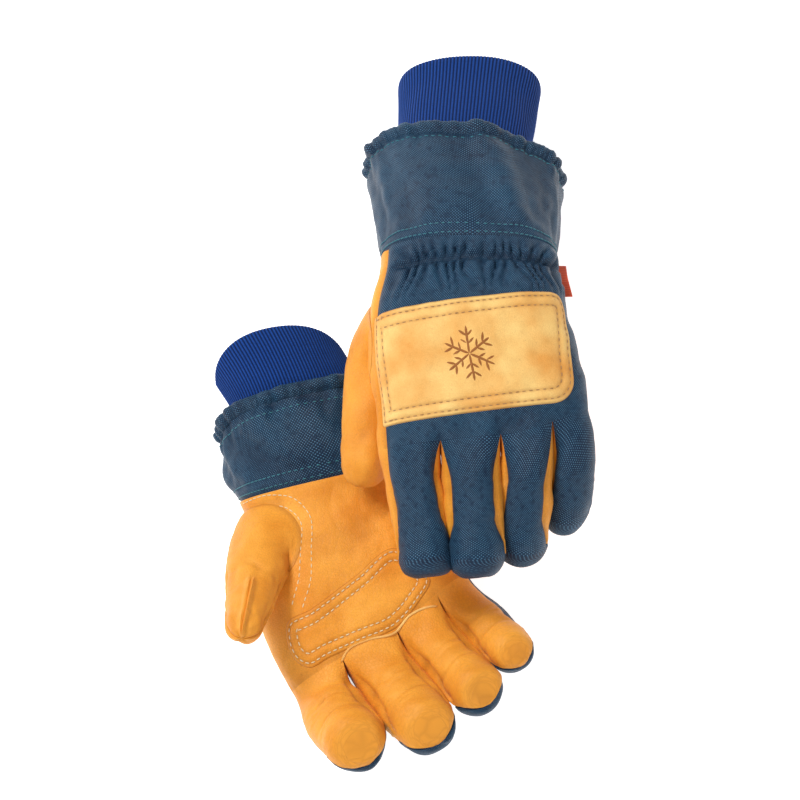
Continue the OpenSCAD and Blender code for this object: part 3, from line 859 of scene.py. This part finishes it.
# ---- Bindings ----
# A strip of the nylon rolled over the gauntlet's mouth with an elastic inside, and stitched
# down along its inner side, so that it ruffles.
HEM_HALF, HEM_FULL = 3.6, 1.7   # half its width along the sleeve, and half its thickness
for g in (LEFT, RIGHT):
    side = SIDES[g]
    angle = even(0, 360, 0.5)[None]
    around_hem = even(0, 360, 15)[:, None]
    before, ring, after = [gauntlet_skin(g, MOUTH_Y[g] - 0.4 + d, angle, -0.5)[0]
                           for d in (1.0, 0, -1.0)]
    ahead = unit(after - before)
    round_step = np.roll(ring[:-1], -1, 0) - np.roll(ring[:-1], 1, 0)
    out = unit(np.cross(np.concatenate([round_step, round_step[:1]]), ahead))
    wrap = np.radians(angle[0])
    ruffle = (np.sin(83 * wrap + 2 * np.sin(3 * wrap)) + 0.7 * np.sin(121 * wrap + 1.3)
              + 0.5 * np.sin(47 * wrap + 0.4))
    t = np.radians(around_hem)
    inner = smooth((-np.cos(t) + 0.2) / 1.0)
    half = HEM_HALF + 0.09 * ruffle[None]
    full = (HEM_FULL + 0.16 * ruffle[None] * (0.35 + 0.65 * inner)
            - 0.5 * near(np.cos(t) + 0.55, 0.25))
    p = (ring[None] + ahead[None] * (half * np.cos(t))[..., None]
         + out[None] * (full * signed(np.sin(t), 0.85))[..., None])
    p[-1], p[:, -1] = p[0], p[:, 0]
    p = lie(g, p, 0.1)
    flat = np.stack([wrap[None] * SLEEVE_R + 0 * t, MOUTH_Y[g] + around_hem / 20 + 0 * angle], -1)
    # Painted shade: darker on the inner side, in the troughs of the ruffle.
    painted_shade = 0.4 * inner * np.clip(-ruffle[None], 0, 1) + 0 * t
    hem = sheet(side + "_hem", on_table(g, p), flat, painted_shade, flip=g == LEFT, material=nylon)
    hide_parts(side + "_gauntlet_binding")
    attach(hem, side + "_cuff")

# ---- Knit wrists ----
# A doubled tube of royal blue acrylic rib knit, sewn inside the gauntlet. Its fold is the
# glove's mouth, and its ribs are about 2 mm apart.
# Rings along the tube, as for the gauntlet.
KNIT_PATH = [
    np.array([
        [-104, 9, -7, 0, 25, 37, 18, 18, 0], [-128, 11, -21, -3, 30, 35, 21, 21, 0],
        [-154, 12, -35.5, -3, 31, 33.5, 23, 23, 0], [-176, 10, -48, -1, 29, 34.5, 24, 24, 0],
        [-200, 8, -60, -1, 26, 35.5, 24, 24, 0]], float),
    np.array([
        [-93.5, -12, 0, -15, 6, 37, 17, 18, 0], [-110, -16.5, -2, -16, 2, 34, 19, 20, -0.2],
        [-125, -19, -2, -17, 0, 32, 23, 23, -0.5], [-139, -19, -2, -18, 0, 32, 23.5, 24, -0.65],
        [-151, -18.5, -2, -19, 0, 32.5, 23.5, 24, -0.7]], float),
]
KNIT_T = 3.0             # both layers of the doubled tube
KNIT_LONGER = [4, 0]     # how far its fold is past the last ring
KNIT_ROWS_IN = 14        # rows of the mesh that the inner layer is drawn for
RIBS, RIB_DEEP = 108, 0.65
LEFT_LOWEST = 0.2 - PLACE_AT[LEFT][2]   # just above the table, in the left glove's frame


def rib_knit(name, ridge, groove):
    """Acrylic 1x1 rib knit. Matt and slightly fuzzy; the loops show as small chevrons along
    each rib, and painted shade makes the ribs' valleys much darker than their tops."""
    m, tree, shader = start_material(
        name, 0.85, {"Specular IOR Level": 0.12, "Sheen Weight": 0.05, "Sheen Roughness": 0.5})
    place = add(tree, "ShaderNodeUVMap", uv_map="UVMap").outputs[0]
    painted_shade = add(tree, "ShaderNodeAttribute", attribute_name="painted_shade").outputs["Fac"]
    loops = add(tree, "ShaderNodeTexWave", {"Vector": place, "Scale": 0.33, "Distortion": 1.0,
                                            "Detail": 2, "Detail Scale": 1.5},
                bands_direction="Y")
    fuzz = add(tree, "ShaderNodeTexNoise", {"Vector": place, "Scale": 1 / 0.7, "Detail": 4})
    # Painted shade: the valleys between the ribs are mixed towards the groove colour.
    colour = two_colours(tree, painted_shade, ridge, groove)
    shade = add(tree, "ShaderNodeMath", {0: spread(tree, fuzz.outputs[0], 0.45, 0.75), 1: 0.45},
                operation="MULTIPLY").outputs[0]
    colour = two_colours(tree, shade, colour, groove)
    tree.links.new(colour, shader.inputs["Base Color"])
    height = add(tree, "ShaderNodeMath", {0: loops.outputs["Fac"], 1: fuzz.outputs[0]},
                 operation="ADD")
    bump = add(tree, "ShaderNodeBump", {"Height": height.outputs[0], "Strength": 0.25,
                                        "Distance": 0.0003})
    tree.links.new(bump.outputs[0], shader.inputs["Normal"])
    return m


acrylic = rib_knit("royal_blue_rib_knit", "#1a4796", "#04102e")

for g in (LEFT, RIGHT):
    side = SIDES[g]
    path = KNIT_PATH[g]
    # Evenly spaced ribs: as many columns to a rib everywhere, by length round the tube.
    dense = np.linspace(0, 360, 721)
    mm = running(path_form(path, path[2, 0] + 0 * dense, dense, 2.2, 0))
    share = np.linspace(0, 1, RIBS * 7 + 1)
    angle = np.interp(share * mm[-1], mm, dense)[None]
    fold_y = path[-1, 0] + KNIT_T / 2 - KNIT_LONGER[g]
    y = even(path[0, 0], fold_y, 2.6)[:, None]
    rib = (np.abs(np.cos(pi * RIBS * share)) ** 0.6)[None]
    outer = cuff_form(g, path, y, angle)
    n = -unit(np.cross(np.gradient(outer, axis=0), np.gradient(outer, axis=1)))
    wobble = noise(81 + g, 30 * np.cos(np.radians(angle)), y + 30 * np.sin(np.radians(angle)), 40)
    lift = RIB_DEEP * (rib - 0.6) + 0.5 * wobble + 0.7 * near(y - fold_y, 9)
    outer = outer + n * lift[..., None]
    ahead = unit(outer[-1] - outer[-2])
    turnover = [outer[-1] - n[-1] * KNIT_T * (1 - cos(k)) / 2 + ahead * KNIT_T * sin(k) / 2
                for k in np.radians([25, 50, 75, 100, 125, 150])]
    back_in = slice(-1, -1 - KNIT_ROWS_IN, -1)
    inner = outer[back_in] - n[back_in] * (KNIT_T + 0.25 * (rib[..., None] - 0.6))
    p = lie(g, np.concatenate([outer, turnover, inner]), 0.3)
    if g == LEFT:
        p[..., 2] = np.maximum(p[..., 2], LEFT_LOWEST)
    p[:, -1] = p[:, 0]
    run = running(p[:, 0])
    flat = np.stack([share[None] * mm[-1] + 0 * run[:, None], run[:, None] + 0 * angle], -1)
    # Painted shade: 1 in the valleys between the ribs, 0 on their tops.
    painted_shade = (1 - rib ** 2) ** 0.7 + 0 * run[:, None]
    knit = sheet(side + "_rib_knit", on_table(g, p), flat, painted_shade, flip=g == RIGHT,
                 material=acrylic)
    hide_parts(side + "_knit_wrist")
    blend_cuff(knit, g)

# ---- Knuckle straps ----
# A band of paler, softer leather over the knuckles, its thumb end caught in the side seam and
# its other end round-cornered, sewn down with two rows of thread. A plain snow star, pressed
# and burnt into it, stands where such gloves carry a mark.
OUTLINE_STEP = 1.2       # between the points of an outline


def outline_points(corners, radii):
    """A closed outline from its corners, each rounded to a radius, at an even step."""
    out = []
    n = len(corners)
    for k in range(n):
        before, at, after = [np.array(corners[j % n], float) for j in (k - 1, k, k + 1)]
        a, b = before - at, after - at
        r = min(radii[k], 0.45 * np.linalg.norm(a), 0.45 * np.linalg.norm(b))
        p0, p2 = at + a / np.linalg.norm(a) * r, at + b / np.linalg.norm(b) * r
        t = np.linspace(0, 1, 12)[:, None]
        out.append((1 - t) ** 2 * p0 + 2 * t * (1 - t) * at + t * t * p2)
    out = np.concatenate(out)
    return resample(np.concatenate([out, out[:1]]), OUTLINE_STEP)[:-1]


def resample(line, step):
    """A line's points at an even step."""
    run = running(line)
    at = np.linspace(0, run[-1], max(2, int(round(run[-1] / step)) + 1))
    return np.stack([np.interp(at, run, line[:, k]) for k in range(line.shape[1])], -1)


def left_of(step):
    """Steps along a flat line, turned a quarter to their left."""
    return np.stack([-step[:, 1], step[:, 0]], -1)


def turning(line):
    """1 for a closed outline that runs anticlockwise, and -1 for the other way."""
    after = np.roll(line, -1, 0)
    return np.sign(np.sum(line[:, 0] * after[:, 1] - line[:, 1] * after[:, 0]))


def inset(line, d):
    """A closed outline moved inwards by d, with its first point again at its end."""
    step = unit(np.roll(line, -1, 0) - np.roll(line, 1, 0))
    line = line + left_of(step) * d * turning(line)
    return np.concatenate([line, line[:1]])


def applique(name, g, outline, height, material, rows):
    """A leather shape sewn on the hand's skin, drawn by its outline in (y, mm round). Its edge
    is turned down, and it dips along its rows of stitches, which lie that far inside its edge."""
    centre = outline.mean(0)
    size = np.linalg.norm(outline - centre, axis=-1).max()
    share = 1 - even(0, 1, 1.1 / size)[:, None, None] ** 1.15
    ring = np.concatenate([outline, outline[:1]])[None]
    drawn = centre + (ring - centre) * share
    apart = np.full(drawn.shape[:2], 1e9)
    for a, b in zip(outline, np.roll(outline, -1, 0)):
        along = np.clip((drawn - a) @ (b - a) / ((b - a) @ (b - a)), 0, 1)[..., None]
        apart = np.minimum(apart, np.linalg.norm(drawn - a - along * (b - a), axis=-1))
    lift = height * (1 - np.exp(-(apart / 0.9) ** 1.4)) - 0.25
    for d in rows:
        lift = lift - 0.42 * near(apart - d, 0.85)
    lift = lift + 0.12 * near(apart - sum(rows) / 2, 1.0)
    lift = lift + 0.12 * noise(91, drawn[..., 0], drawn[..., 1], 9) * np.clip(apart / 3, 0, 1)
    p = hand_skin(g, drawn[..., 0], to_angle(g, drawn[..., 1]), lift)
    # Painted shade: darker at the turned-down edge and along the dips of the stitch rows.
    painted_shade = 0.7 * near(apart, 0.8)
    for d in rows:
        painted_shade = painted_shade + 0.35 * near(apart - d, 0.8)
    return sheet(name, on_table(g, p), drawn[..., ::-1], painted_shade,
                 flip=(g == RIGHT) == (turning(outline) > 0), material=material, thick=1.0)


def capsule():
    """One stitch, 1 mm long and 1 mm thick, as a few faces that lie along x."""
    bpy.ops.mesh.primitive_uv_sphere_add(segments=6, ring_count=4, radius=0.5)
    obj = bpy.context.object
    mesh = obj.data
    points = np.array([v.co for v in mesh.vertices])[:, [2, 0, 1]]
    points[:, 0] = signed(points[:, 0] * 2, 0.6) / 2
    faces = [tuple(f.vertices) for f in mesh.polygons]
    bpy.data.objects.remove(obj)
    return points, faces


STITCH, STITCH_FACES = capsule()


def thread(name, g, lines, skin, material, pitch=3.0, long=2.2, thick=0.62, lift=0.0):
    """Rows of stitches along lines drawn in (y, mm round) on a skin."""
    every, faces, count = [], [], 0
    for line in lines:
        line = resample(np.array(line, float), pitch)
        step = unit(np.gradient(line, axis=0)) * 0.4
        at, behind, ahead, aside = [skin(q[:, 0], q[:, 1], lift) for q in (
            line, line - step, line + step, line + left_of(step))]
        x = unit(ahead - behind)
        z = unit(np.cross(x, aside - at))
        y = np.cross(z, x)
        p = (at[:, None] + x[:, None] * STITCH[None, :, :1] * long
             + y[:, None] * STITCH[None, :, 1:2] * thick + z[:, None] * STITCH[None, :, 2:] * thick)
        every.append(p.reshape(-1, 3))
        for _ in line:
            faces.extend(tuple(v + count for v in f) for f in STITCH_FACES)
            count += len(STITCH)
    mesh = bpy.data.meshes.new(name)
    mesh.from_pydata(on_table(g, np.concatenate(every)).tolist(), [], faces)
    obj = bpy.data.objects.new(name, mesh)
    bpy.context.collection.objects.link(obj)
    bpy.context.view_layer.objects.active = obj
    obj.select_set(True)
    bpy.ops.object.mode_set(mode="EDIT")
    bpy.ops.mesh.select_all(action="SELECT")
    bpy.ops.mesh.normals_make_consistent(inside=False)
    bpy.ops.object.mode_set(mode="OBJECT")
    bpy.ops.object.shade_smooth()
    obj.select_set(False)
    mesh.materials.append(material)
    return obj


def bead(name, g, lines, skin, material, radius, lift, flat):
    """Thin seven-sided beads along lines drawn on a skin, flatter than round, with tapered
    ends."""
    k = np.linspace(0, 2 * pi, 8)
    parts = []
    for line in lines:
        line = resample(np.array(line, float), 1.0)
        at = skin(line[:, 0], line[:, 1], lift)
        aside = line + left_of(np.gradient(line, axis=0))
        x = np.gradient(at, axis=0)
        z = unit(np.cross(x, skin(aside[:, 0], aside[:, 1], lift) - at))
        y = unit(np.cross(z, x))
        run = np.arange(len(line), dtype=float)
        r = radius * np.sqrt(np.clip(np.minimum(run, run[::-1]) / 2, 0, 1))
        p = (at[:, None] + y[:, None] * (r[:, None] * np.cos(k))[..., None]
             + z[:, None] * (r[:, None] * np.sin(k) * flat)[..., None])
        p[:, -1] = p[:, 0]
        uv = np.stack([run[:, None] + 0 * k, k[None] * radius + 0 * run[:, None]], -1)
        parts.append(sheet(name + "_p", on_table(g, p), uv, material=material))
    return join(name, parts)


def sewing_thread(name, code):
    """Twisted polyester thread, about half a millimetre thick, drawn a little thicker."""
    m, tree, shader = start_material(name, 0.6, {"Sheen Weight": 0.2})
    place = add(tree, "ShaderNodeTexCoord").outputs["Object"]
    twist = add(tree, "ShaderNodeTexNoise", {"Vector": place, "Scale": 2500.0, "Detail": 2})
    dark = "#%02x%02x%02x" % tuple(int(int(code[i:i + 2], 16) * 0.72) for i in (1, 3, 5))
    tree.links.new(two_colours(tree, twist.outputs[0], dark, code), shader.inputs["Base Color"])
    return m


strap_leather = grain_leather("pale_split_cowhide", "#f4cb7c", "#e29e4a", "#a96c2a", 0.8, 0.6)
tan_thread = sewing_thread("tan_polyester_thread", "#c08c50")
cream_thread = sewing_thread("cream_polyester_thread", "#ffe9b8")
teal_thread = sewing_thread("teal_polyester_thread", "#2f8394")


def burnt(name):
    """Leather darkened by a hot stamp: matt, brown, a little uneven."""
    m, tree, shader = start_material(name, 0.8)
    place = add(tree, "ShaderNodeTexCoord").outputs["Object"]
    uneven = add(tree, "ShaderNodeTexNoise", {"Vector": place, "Scale": 900.0, "Detail": 3})
    tree.links.new(two_colours(tree, uneven.outputs[0], "#7a4418", "#a8682c"),
                   shader.inputs["Base Color"])
    return m


stamp = burnt("hot_stamped_leather")
STRAP_H = 1.5
STRAP_ROWS = (2.6, 7.2)      # rows of stitches, from the strap's edge
# Its corners in (y, mm round), those of its far end measured from there, and their radii.
far = [to_mm(g, 168) for g in (LEFT, RIGHT)]
STRAP = [
    [(-65.5, -2), (-66.5, far[LEFT] - 1), (-12.5, far[LEFT] - 11), (-11.0, -2)],
    [(-63, 0.6), (-63, far[RIGHT] - 4), (-11, far[RIGHT] - 4), (-12, 0.6)],
]
STRAP_RADII = [1.5, 12, 12, 1.5]
# One arm of the star: its stem and two pairs of branches.
ARM = [[(0, 0), (0, 13)], [(-4, 11.5), (0, 8.2)], [(4, 11.5), (0, 8.2)],
       [(-3.4, 7.2), (0, 4.4)], [(3.4, 7.2), (0, 4.4)]]


def star(centre):
    """The lines of six arms round a centre."""
    lines = []
    for k in range(6):
        c, s = cos(k * pi / 3), sin(k * pi / 3)
        for line in ARM:
            lines.append([(centre[0] + x * s + y * c, centre[1] + x * c - y * s)
                          for x, y in line])
    return lines


for g in (LEFT, RIGHT):
    side = SIDES[g]
    skin = lambda y, u, lift: hand_skin(g, y, to_angle(g, u), lift)
    line = outline_points(STRAP[g], STRAP_RADII)
    strap = applique(side + "_strap", g, line, STRAP_H, strap_leather, STRAP_ROWS)
    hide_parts(side + "_knuckle_strap")
    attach(strap, side + "_hand")
    sewn = thread(side + "_strap_thread", g, [inset(line, d) for d in STRAP_ROWS], skin,
                  tan_thread, pitch=3.3, long=1.9, thick=0.6, lift=STRAP_H - 0.55)
    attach(sewn, side + "_hand")
    mark = bead(side + "_strap_mark", g, star(line.mean(0)), skin, stamp, radius=0.62,
                lift=STRAP_H - 0.25, flat=0.4)
    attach(mark, side + "_hand")

# ---- Palm patches ----
# A leaf of the same leather sewn over the palm below the fingers, where a tool's handle bears,
# with two rows of cream thread; and the rows that hold the thumb and the side of the palm.
# What is sewn on the palm is drawn on it as it lies flat, in (x, y).
PATCH = [(26.6, -31.5), (0, -35.5), (-24.8, -38.8), (-32.5, -28), (-33.4, -16.6), (-23.5, -9.6),
         (-7.1, -3.3), (12.8, -4.3), (29.8, -5.4), (41, -6), (45, -12), (45, -21.7), (41, -31)]


def on_palm(g, points):
    """Points drawn on the palm as it lies flat, in (x, y), as (y, mm round)."""
    x, y = np.array(points, float).T
    path = HAND_PATH[g][::-1]
    at = lambda k, v: spline(path[:, 0], path[:, k], v)
    # Each round comes nearer to the ring that the point is on and to its depth there.
    yc, z = y.copy(), -18 + 0 * y
    for _ in range(8):
        turn, pitch = np.radians(at(3, yc)), np.radians(at(4, yc))
        across = (x - at(1, yc) - z * np.sin(turn) * np.sin(pitch)) / np.cos(turn)
        yc = y - across * np.sin(turn) + z * np.cos(turn) * np.sin(pitch)
        q = np.clip(across / at(5, yc), -0.995, 0.995)
        angle = 360 - np.degrees(np.arccos(signed(q, HAND_SQUARE / 2)))
        z = -at(7, yc) * np.abs(np.sin(np.radians(angle))) ** (2 / HAND_SQUARE)
    return np.stack([yc, to_mm(g, angle)], -1)


def flowing(points, closed=False):
    """A smooth line through points."""
    pts = np.array(points, float)
    if closed:
        pts = np.concatenate([pts[-3:], pts, pts[:3]])
    run = running(pts)
    lo, hi = (run[3], run[-3]) if closed else (run[0], run[-1])
    at = np.linspace(lo, hi, max(3, int((hi - lo) / OUTLINE_STEP)))
    if closed:
        at = at[:-1]
    return np.stack([spline(run, pts[:, k], at) for k in (0, 1)], -1)


PATCH_H = 1.3
PATCH_ROWS = (2.4, 6.6)
# The two rows beside the thumb's root, and the welt where the middle and ring fingers are sewn on.
THUMB_ARCS = [
    [(34, -94), (21.5, -88.5), (13.6, -82.7), (10.6, -72.5), (17.4, -59.7), (25.8, -46),
     (33, -38.5)],
    [(30, -97), (17, -92), (8.4, -85.3), (5.2, -72.5), (12.2, -58.0), (20.6, -43), (29, -34.5)],
]
WELT = [(25.7, -1.1), (19.8, -4.8), (8.6, -4.6), (-4.7, -1.6), (-16.1, -5.9), (-25.9, -5.6),
        (-30.6, -3.9)]
for g in (LEFT, RIGHT):
    side = SIDES[g]
    skin = lambda y, u, lift: hand_skin(g, y, to_angle(g, u), lift)
    line = flowing(on_palm(g, PATCH), closed=True)
    patch = applique(side + "_patch", g, line, PATCH_H, cowhide, PATCH_ROWS)
    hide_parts(side + "_palm_patch")
    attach(patch, side + "_hand")
    sewn = thread(side + "_patch_thread", g, [inset(line, d) for d in PATCH_ROWS], skin,
                  cream_thread, pitch=3.0, long=2.1, thick=0.72, lift=PATCH_H - 0.45)
    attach(sewn, side + "_hand")
    if g == RIGHT:
        arcs = [flowing(on_palm(g, arc)) for arc in THUMB_ARCS]
        sewn = thread(side + "_thumb_thread", g, arcs, skin, cream_thread, lift=0.1)
        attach(sewn, side + "_hand")
        fold = bead(side + "_finger_welt", g, [flowing(on_palm(g, WELT))], skin, strap_leather,
                    radius=0.65, lift=0.15, flat=0.9)
        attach(fold, side + "_hand")

# ---- Seam threads ----
# Two rows of teal thread hold the gauntlet to the hand, and one row closes each binding.
SLEEVE_MM = 240       # about the length of a ring round a sleeve
for g in (LEFT, RIGHT):
    side = SIDES[g]
    sleeve_skin = lambda y, u, lift: gauntlet_skin(g, y, u * 360 / SLEEVE_MM, lift)
    u = np.linspace(0, SLEEVE_MM, SLEEVE_MM + 1)
    rings = [np.stack([y + 0 * u, u], -1)
             for y in (WRIST_Y[g] - 1.8, WRIST_Y[g] - 5.6, MOUTH_Y[g] + 5.2)]
    sewn = thread(side + "_wrist_thread", g, rings, sleeve_skin, teal_thread, pitch=2.7, long=1.9,
                  thick=0.55, lift=0.12)
    blend_cuff(sewn, g)

# ---- Labels ----
# A small folded tag of red woven satin in the far side seam. It is plain but for its weave.


def satin(name):
    """Woven polyester satin, red, with the fine cross ribs of a woven tag."""
    m, tree, shader = start_material(name, 0.45, {"Sheen Weight": 0.2})
    place = add(tree, "ShaderNodeTexCoord").outputs["Object"]
    ribs = add(tree, "ShaderNodeTexWave", {"Vector": place, "Scale": 320.0, "Distortion": 0.5},
               bands_direction="Y")
    spots = add(tree, "ShaderNodeTexNoise", {"Vector": place, "Scale": 260.0, "Detail": 2})
    colour = two_colours(tree, ribs.outputs["Fac"], "#dd4420", "#f6643a")
    colour = two_colours(tree, spread(tree, spots.outputs[0], 0.6, 0.72), colour, "#ef8a6a")
    tree.links.new(colour, shader.inputs["Base Color"])
    bump = add(tree, "ShaderNodeBump", {"Height": ribs.outputs["Fac"], "Strength": 0.4,
                                        "Distance": 0.0002})
    tree.links.new(bump.outputs[0], shader.inputs["Normal"])
    return m


tag_weave = satin("red_woven_satin")
TAG_FROM = [-93, -86]
TAG_LONG, TAG_HALF, TAG_OUT = 22, 3.3, 2.8   # its middle is that far out of the seam
for g in (LEFT, RIGHT):
    side = SIDES[g]
    y = even(TAG_FROM[g], TAG_FROM[g] + TAG_LONG, 0.8)[:, None]
    root = hand_skin(g, y, np.array([[SEAM_TO]]), -0.4)
    fold = np.radians(np.linspace(-100, 260, 25))[None]
    reach = signed(np.cos(fold), 0.35) * TAG_HALF + TAG_OUT
    thin = 0.5 * signed(np.sin(fold), 0.6)
    sway = 0.5 * np.sin((y + 80) / TAG_LONG * 3.0)
    p = root + np.stack([-reach + 0 * y, 0 * reach + 0 * y, thin + sway * (reach / 5)], -1)
    p[:, -1] = p[:, 0]
    ends = [np.broadcast_to(p[k].mean(0), p[k].shape)[None] for k in (0, -1)]
    p = np.concatenate([ends[0], p, ends[1]])
    uv = np.zeros(p.shape[:2] + (2,))
    tag = sheet(side + "_tag", on_table(g, p), uv, flip=g == LEFT, material=tag_weave)
    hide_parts(side + "_side_label")
    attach(tag, side + "_hand")

# ---- Elastics and linings ----
# Inside each glove is a fleece lining with a waterproof film, one bag for the hand and the
# fingers together; and the narrow elastic sewn to the back over it at the wrist.


def fleece(name):
    """Grey polyester fleece. Its pile shows as soft lumps 2 or 3 mm across, quite matt."""
    m, tree, shader = start_material(name, 0.95, {"Sheen Weight": 0.4, "Sheen Roughness": 0.6})
    place = add(tree, "ShaderNodeTexCoord").outputs["Object"]
    pile = add(tree, "ShaderNodeTexNoise", {"Vector": place, "Scale": 420.0, "Detail": 5})
    colour = two_colours(tree, spread(tree, pile.outputs[0], 0.35, 0.65), "#4a4d52", "#8b8f94")
    tree.links.new(colour, shader.inputs["Base Color"])
    bump = add(tree, "ShaderNodeBump", {"Height": pile.outputs[0], "Strength": 0.8,
                                        "Distance": 0.0008})
    tree.links.new(bump.outputs[0], shader.inputs["Normal"])
    return m


def braided(name):
    """Braided elastic tape of polyester and rubber, off white, ribbed across."""
    m, tree, shader = start_material(name, 0.7)
    place = add(tree, "ShaderNodeUVMap", uv_map="UVMap").outputs[0]
    braid = add(tree, "ShaderNodeTexWave", {"Vector": place, "Scale": 0.35}, bands_direction="Y")
    tree.links.new(two_colours(tree, braid.outputs["Fac"], "#c9c7c0", "#efeeea"),
                   shader.inputs["Base Color"])
    return m


pile = fleece("grey_polyester_fleece")
tape = braided("white_braided_elastic")
LINING_T, LINING_STEP = 1.6, 2.6
HAND_LINING_IN, FINGER_LINING_IN = 3.9, 2.6   # from the glove's skin to the lining's outside
TAPE_IN, TAPE_HALF = 1.9, 4
for g in (LEFT, RIGHT):
    side = SIDES[g]
    bag = hand_panel(g, side + "_hand_bag", SEAM_FROM, SEAM_FROM + 360, pile,
                     lift=-HAND_LINING_IN, thick=LINING_T, step=LINING_STEP)
    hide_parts(side + "_hand_lining")
    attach(bag, side + "_hand")
    # The tape runs over the back only, and ends short of both side seams.
    angle = to_angle(g, even(8, to_mm(g, 150), 2.5))[None]
    y = even(GATHER_Y[g] - TAPE_HALF, GATHER_Y[g] + TAPE_HALF, 1.0)[:, None]
    p = hand_skin(g, y, angle, -TAPE_IN)
    uv = np.stack([to_mm(g, angle) + 0 * y, y + 0 * angle], -1)
    band = sheet(side + "_elastic_tape", on_table(g, p), uv, flip=g == LEFT, material=tape,
                 thick=0.4)
    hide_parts(side + "_wrist_elastic")
    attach(band, side + "_hand")
    for i, name in enumerate(FINGERS + ["thumb"]):
        plain = {"lift": -FINGER_LINING_IN, "step": LINING_STEP, "rough": False}
        p, flat = (thumb_grid(g, **plain) if i == THUMB else finger_grid(g, i, **plain))[:2]
        stall = sheet(side + "_" + name + "_stall", on_table(g, p), flat, flip=g == LEFT,
                      material=pile, thick=LINING_T)
        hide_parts(side + "_" + name + "_lining")
        blend_finger(stall)

# ---- The table, the light and the camera ----
# The gloves lie on white paper that glows a little, under one strong soft lamp and two weak ones.
# The camera looks down at them steeply, and the dyes are shown at their own colours.
bpy.ops.mesh.primitive_plane_add(size=6)
floor = bpy.context.object
floor.name = "table"
paper, tree, shader = start_material("matt_white_paper", 0.9)
shader.inputs["Base Color"].default_value = srgb("#ffffff")
shader.inputs["Emission Color"].default_value = srgb("#ffffff")
shader.inputs["Emission Strength"].default_value = 0.7
floor.data.materials.append(paper)

world = bpy.data.worlds.new("studio")
bpy.context.scene.world = world
world.use_nodes = True
sky = world.node_tree.nodes["Background"].inputs
sky["Color"].default_value = srgb("#ffffff")
sky["Strength"].default_value = 0.38


def lamp(name, at, size, power, aim=(0, 0, 0.05)):
    """A square area lamp, in metres and watts, turned to its aim."""
    bpy.ops.object.light_add(type="AREA", location=at)
    o = bpy.context.object
    o.name = name
    o.data.size, o.data.energy = size, power
    o.rotation_mode = "QUATERNION"
    o.rotation_quaternion = (Vector(aim) - Vector(at)).to_track_quat("-Z", "Y")


lamp("key", (-0.9, 0.5, 1.5), 0.6, 27)
lamp("fill", (1.2, -0.4, 1.3), 1.2, 6)
lamp("front", (-0.2, -1.5, 1.2), 1.2, 6)

TARGET = np.array([-0.0005, 0.00285, 0.050])
RISE = radians(75)
AWAY = 3.0
bpy.ops.object.camera_add(location=tuple(TARGET + AWAY * np.array([0, -cos(RISE), sin(RISE)])))
camera = bpy.context.object
camera.rotation_euler = (radians(90) - RISE, 0, 0)
camera.data.lens = 270
camera.data.sensor_width = 36
camera.data.clip_end = 20
bpy.context.scene.camera = camera
bpy.context.scene.view_settings.view_transform = "Standard"
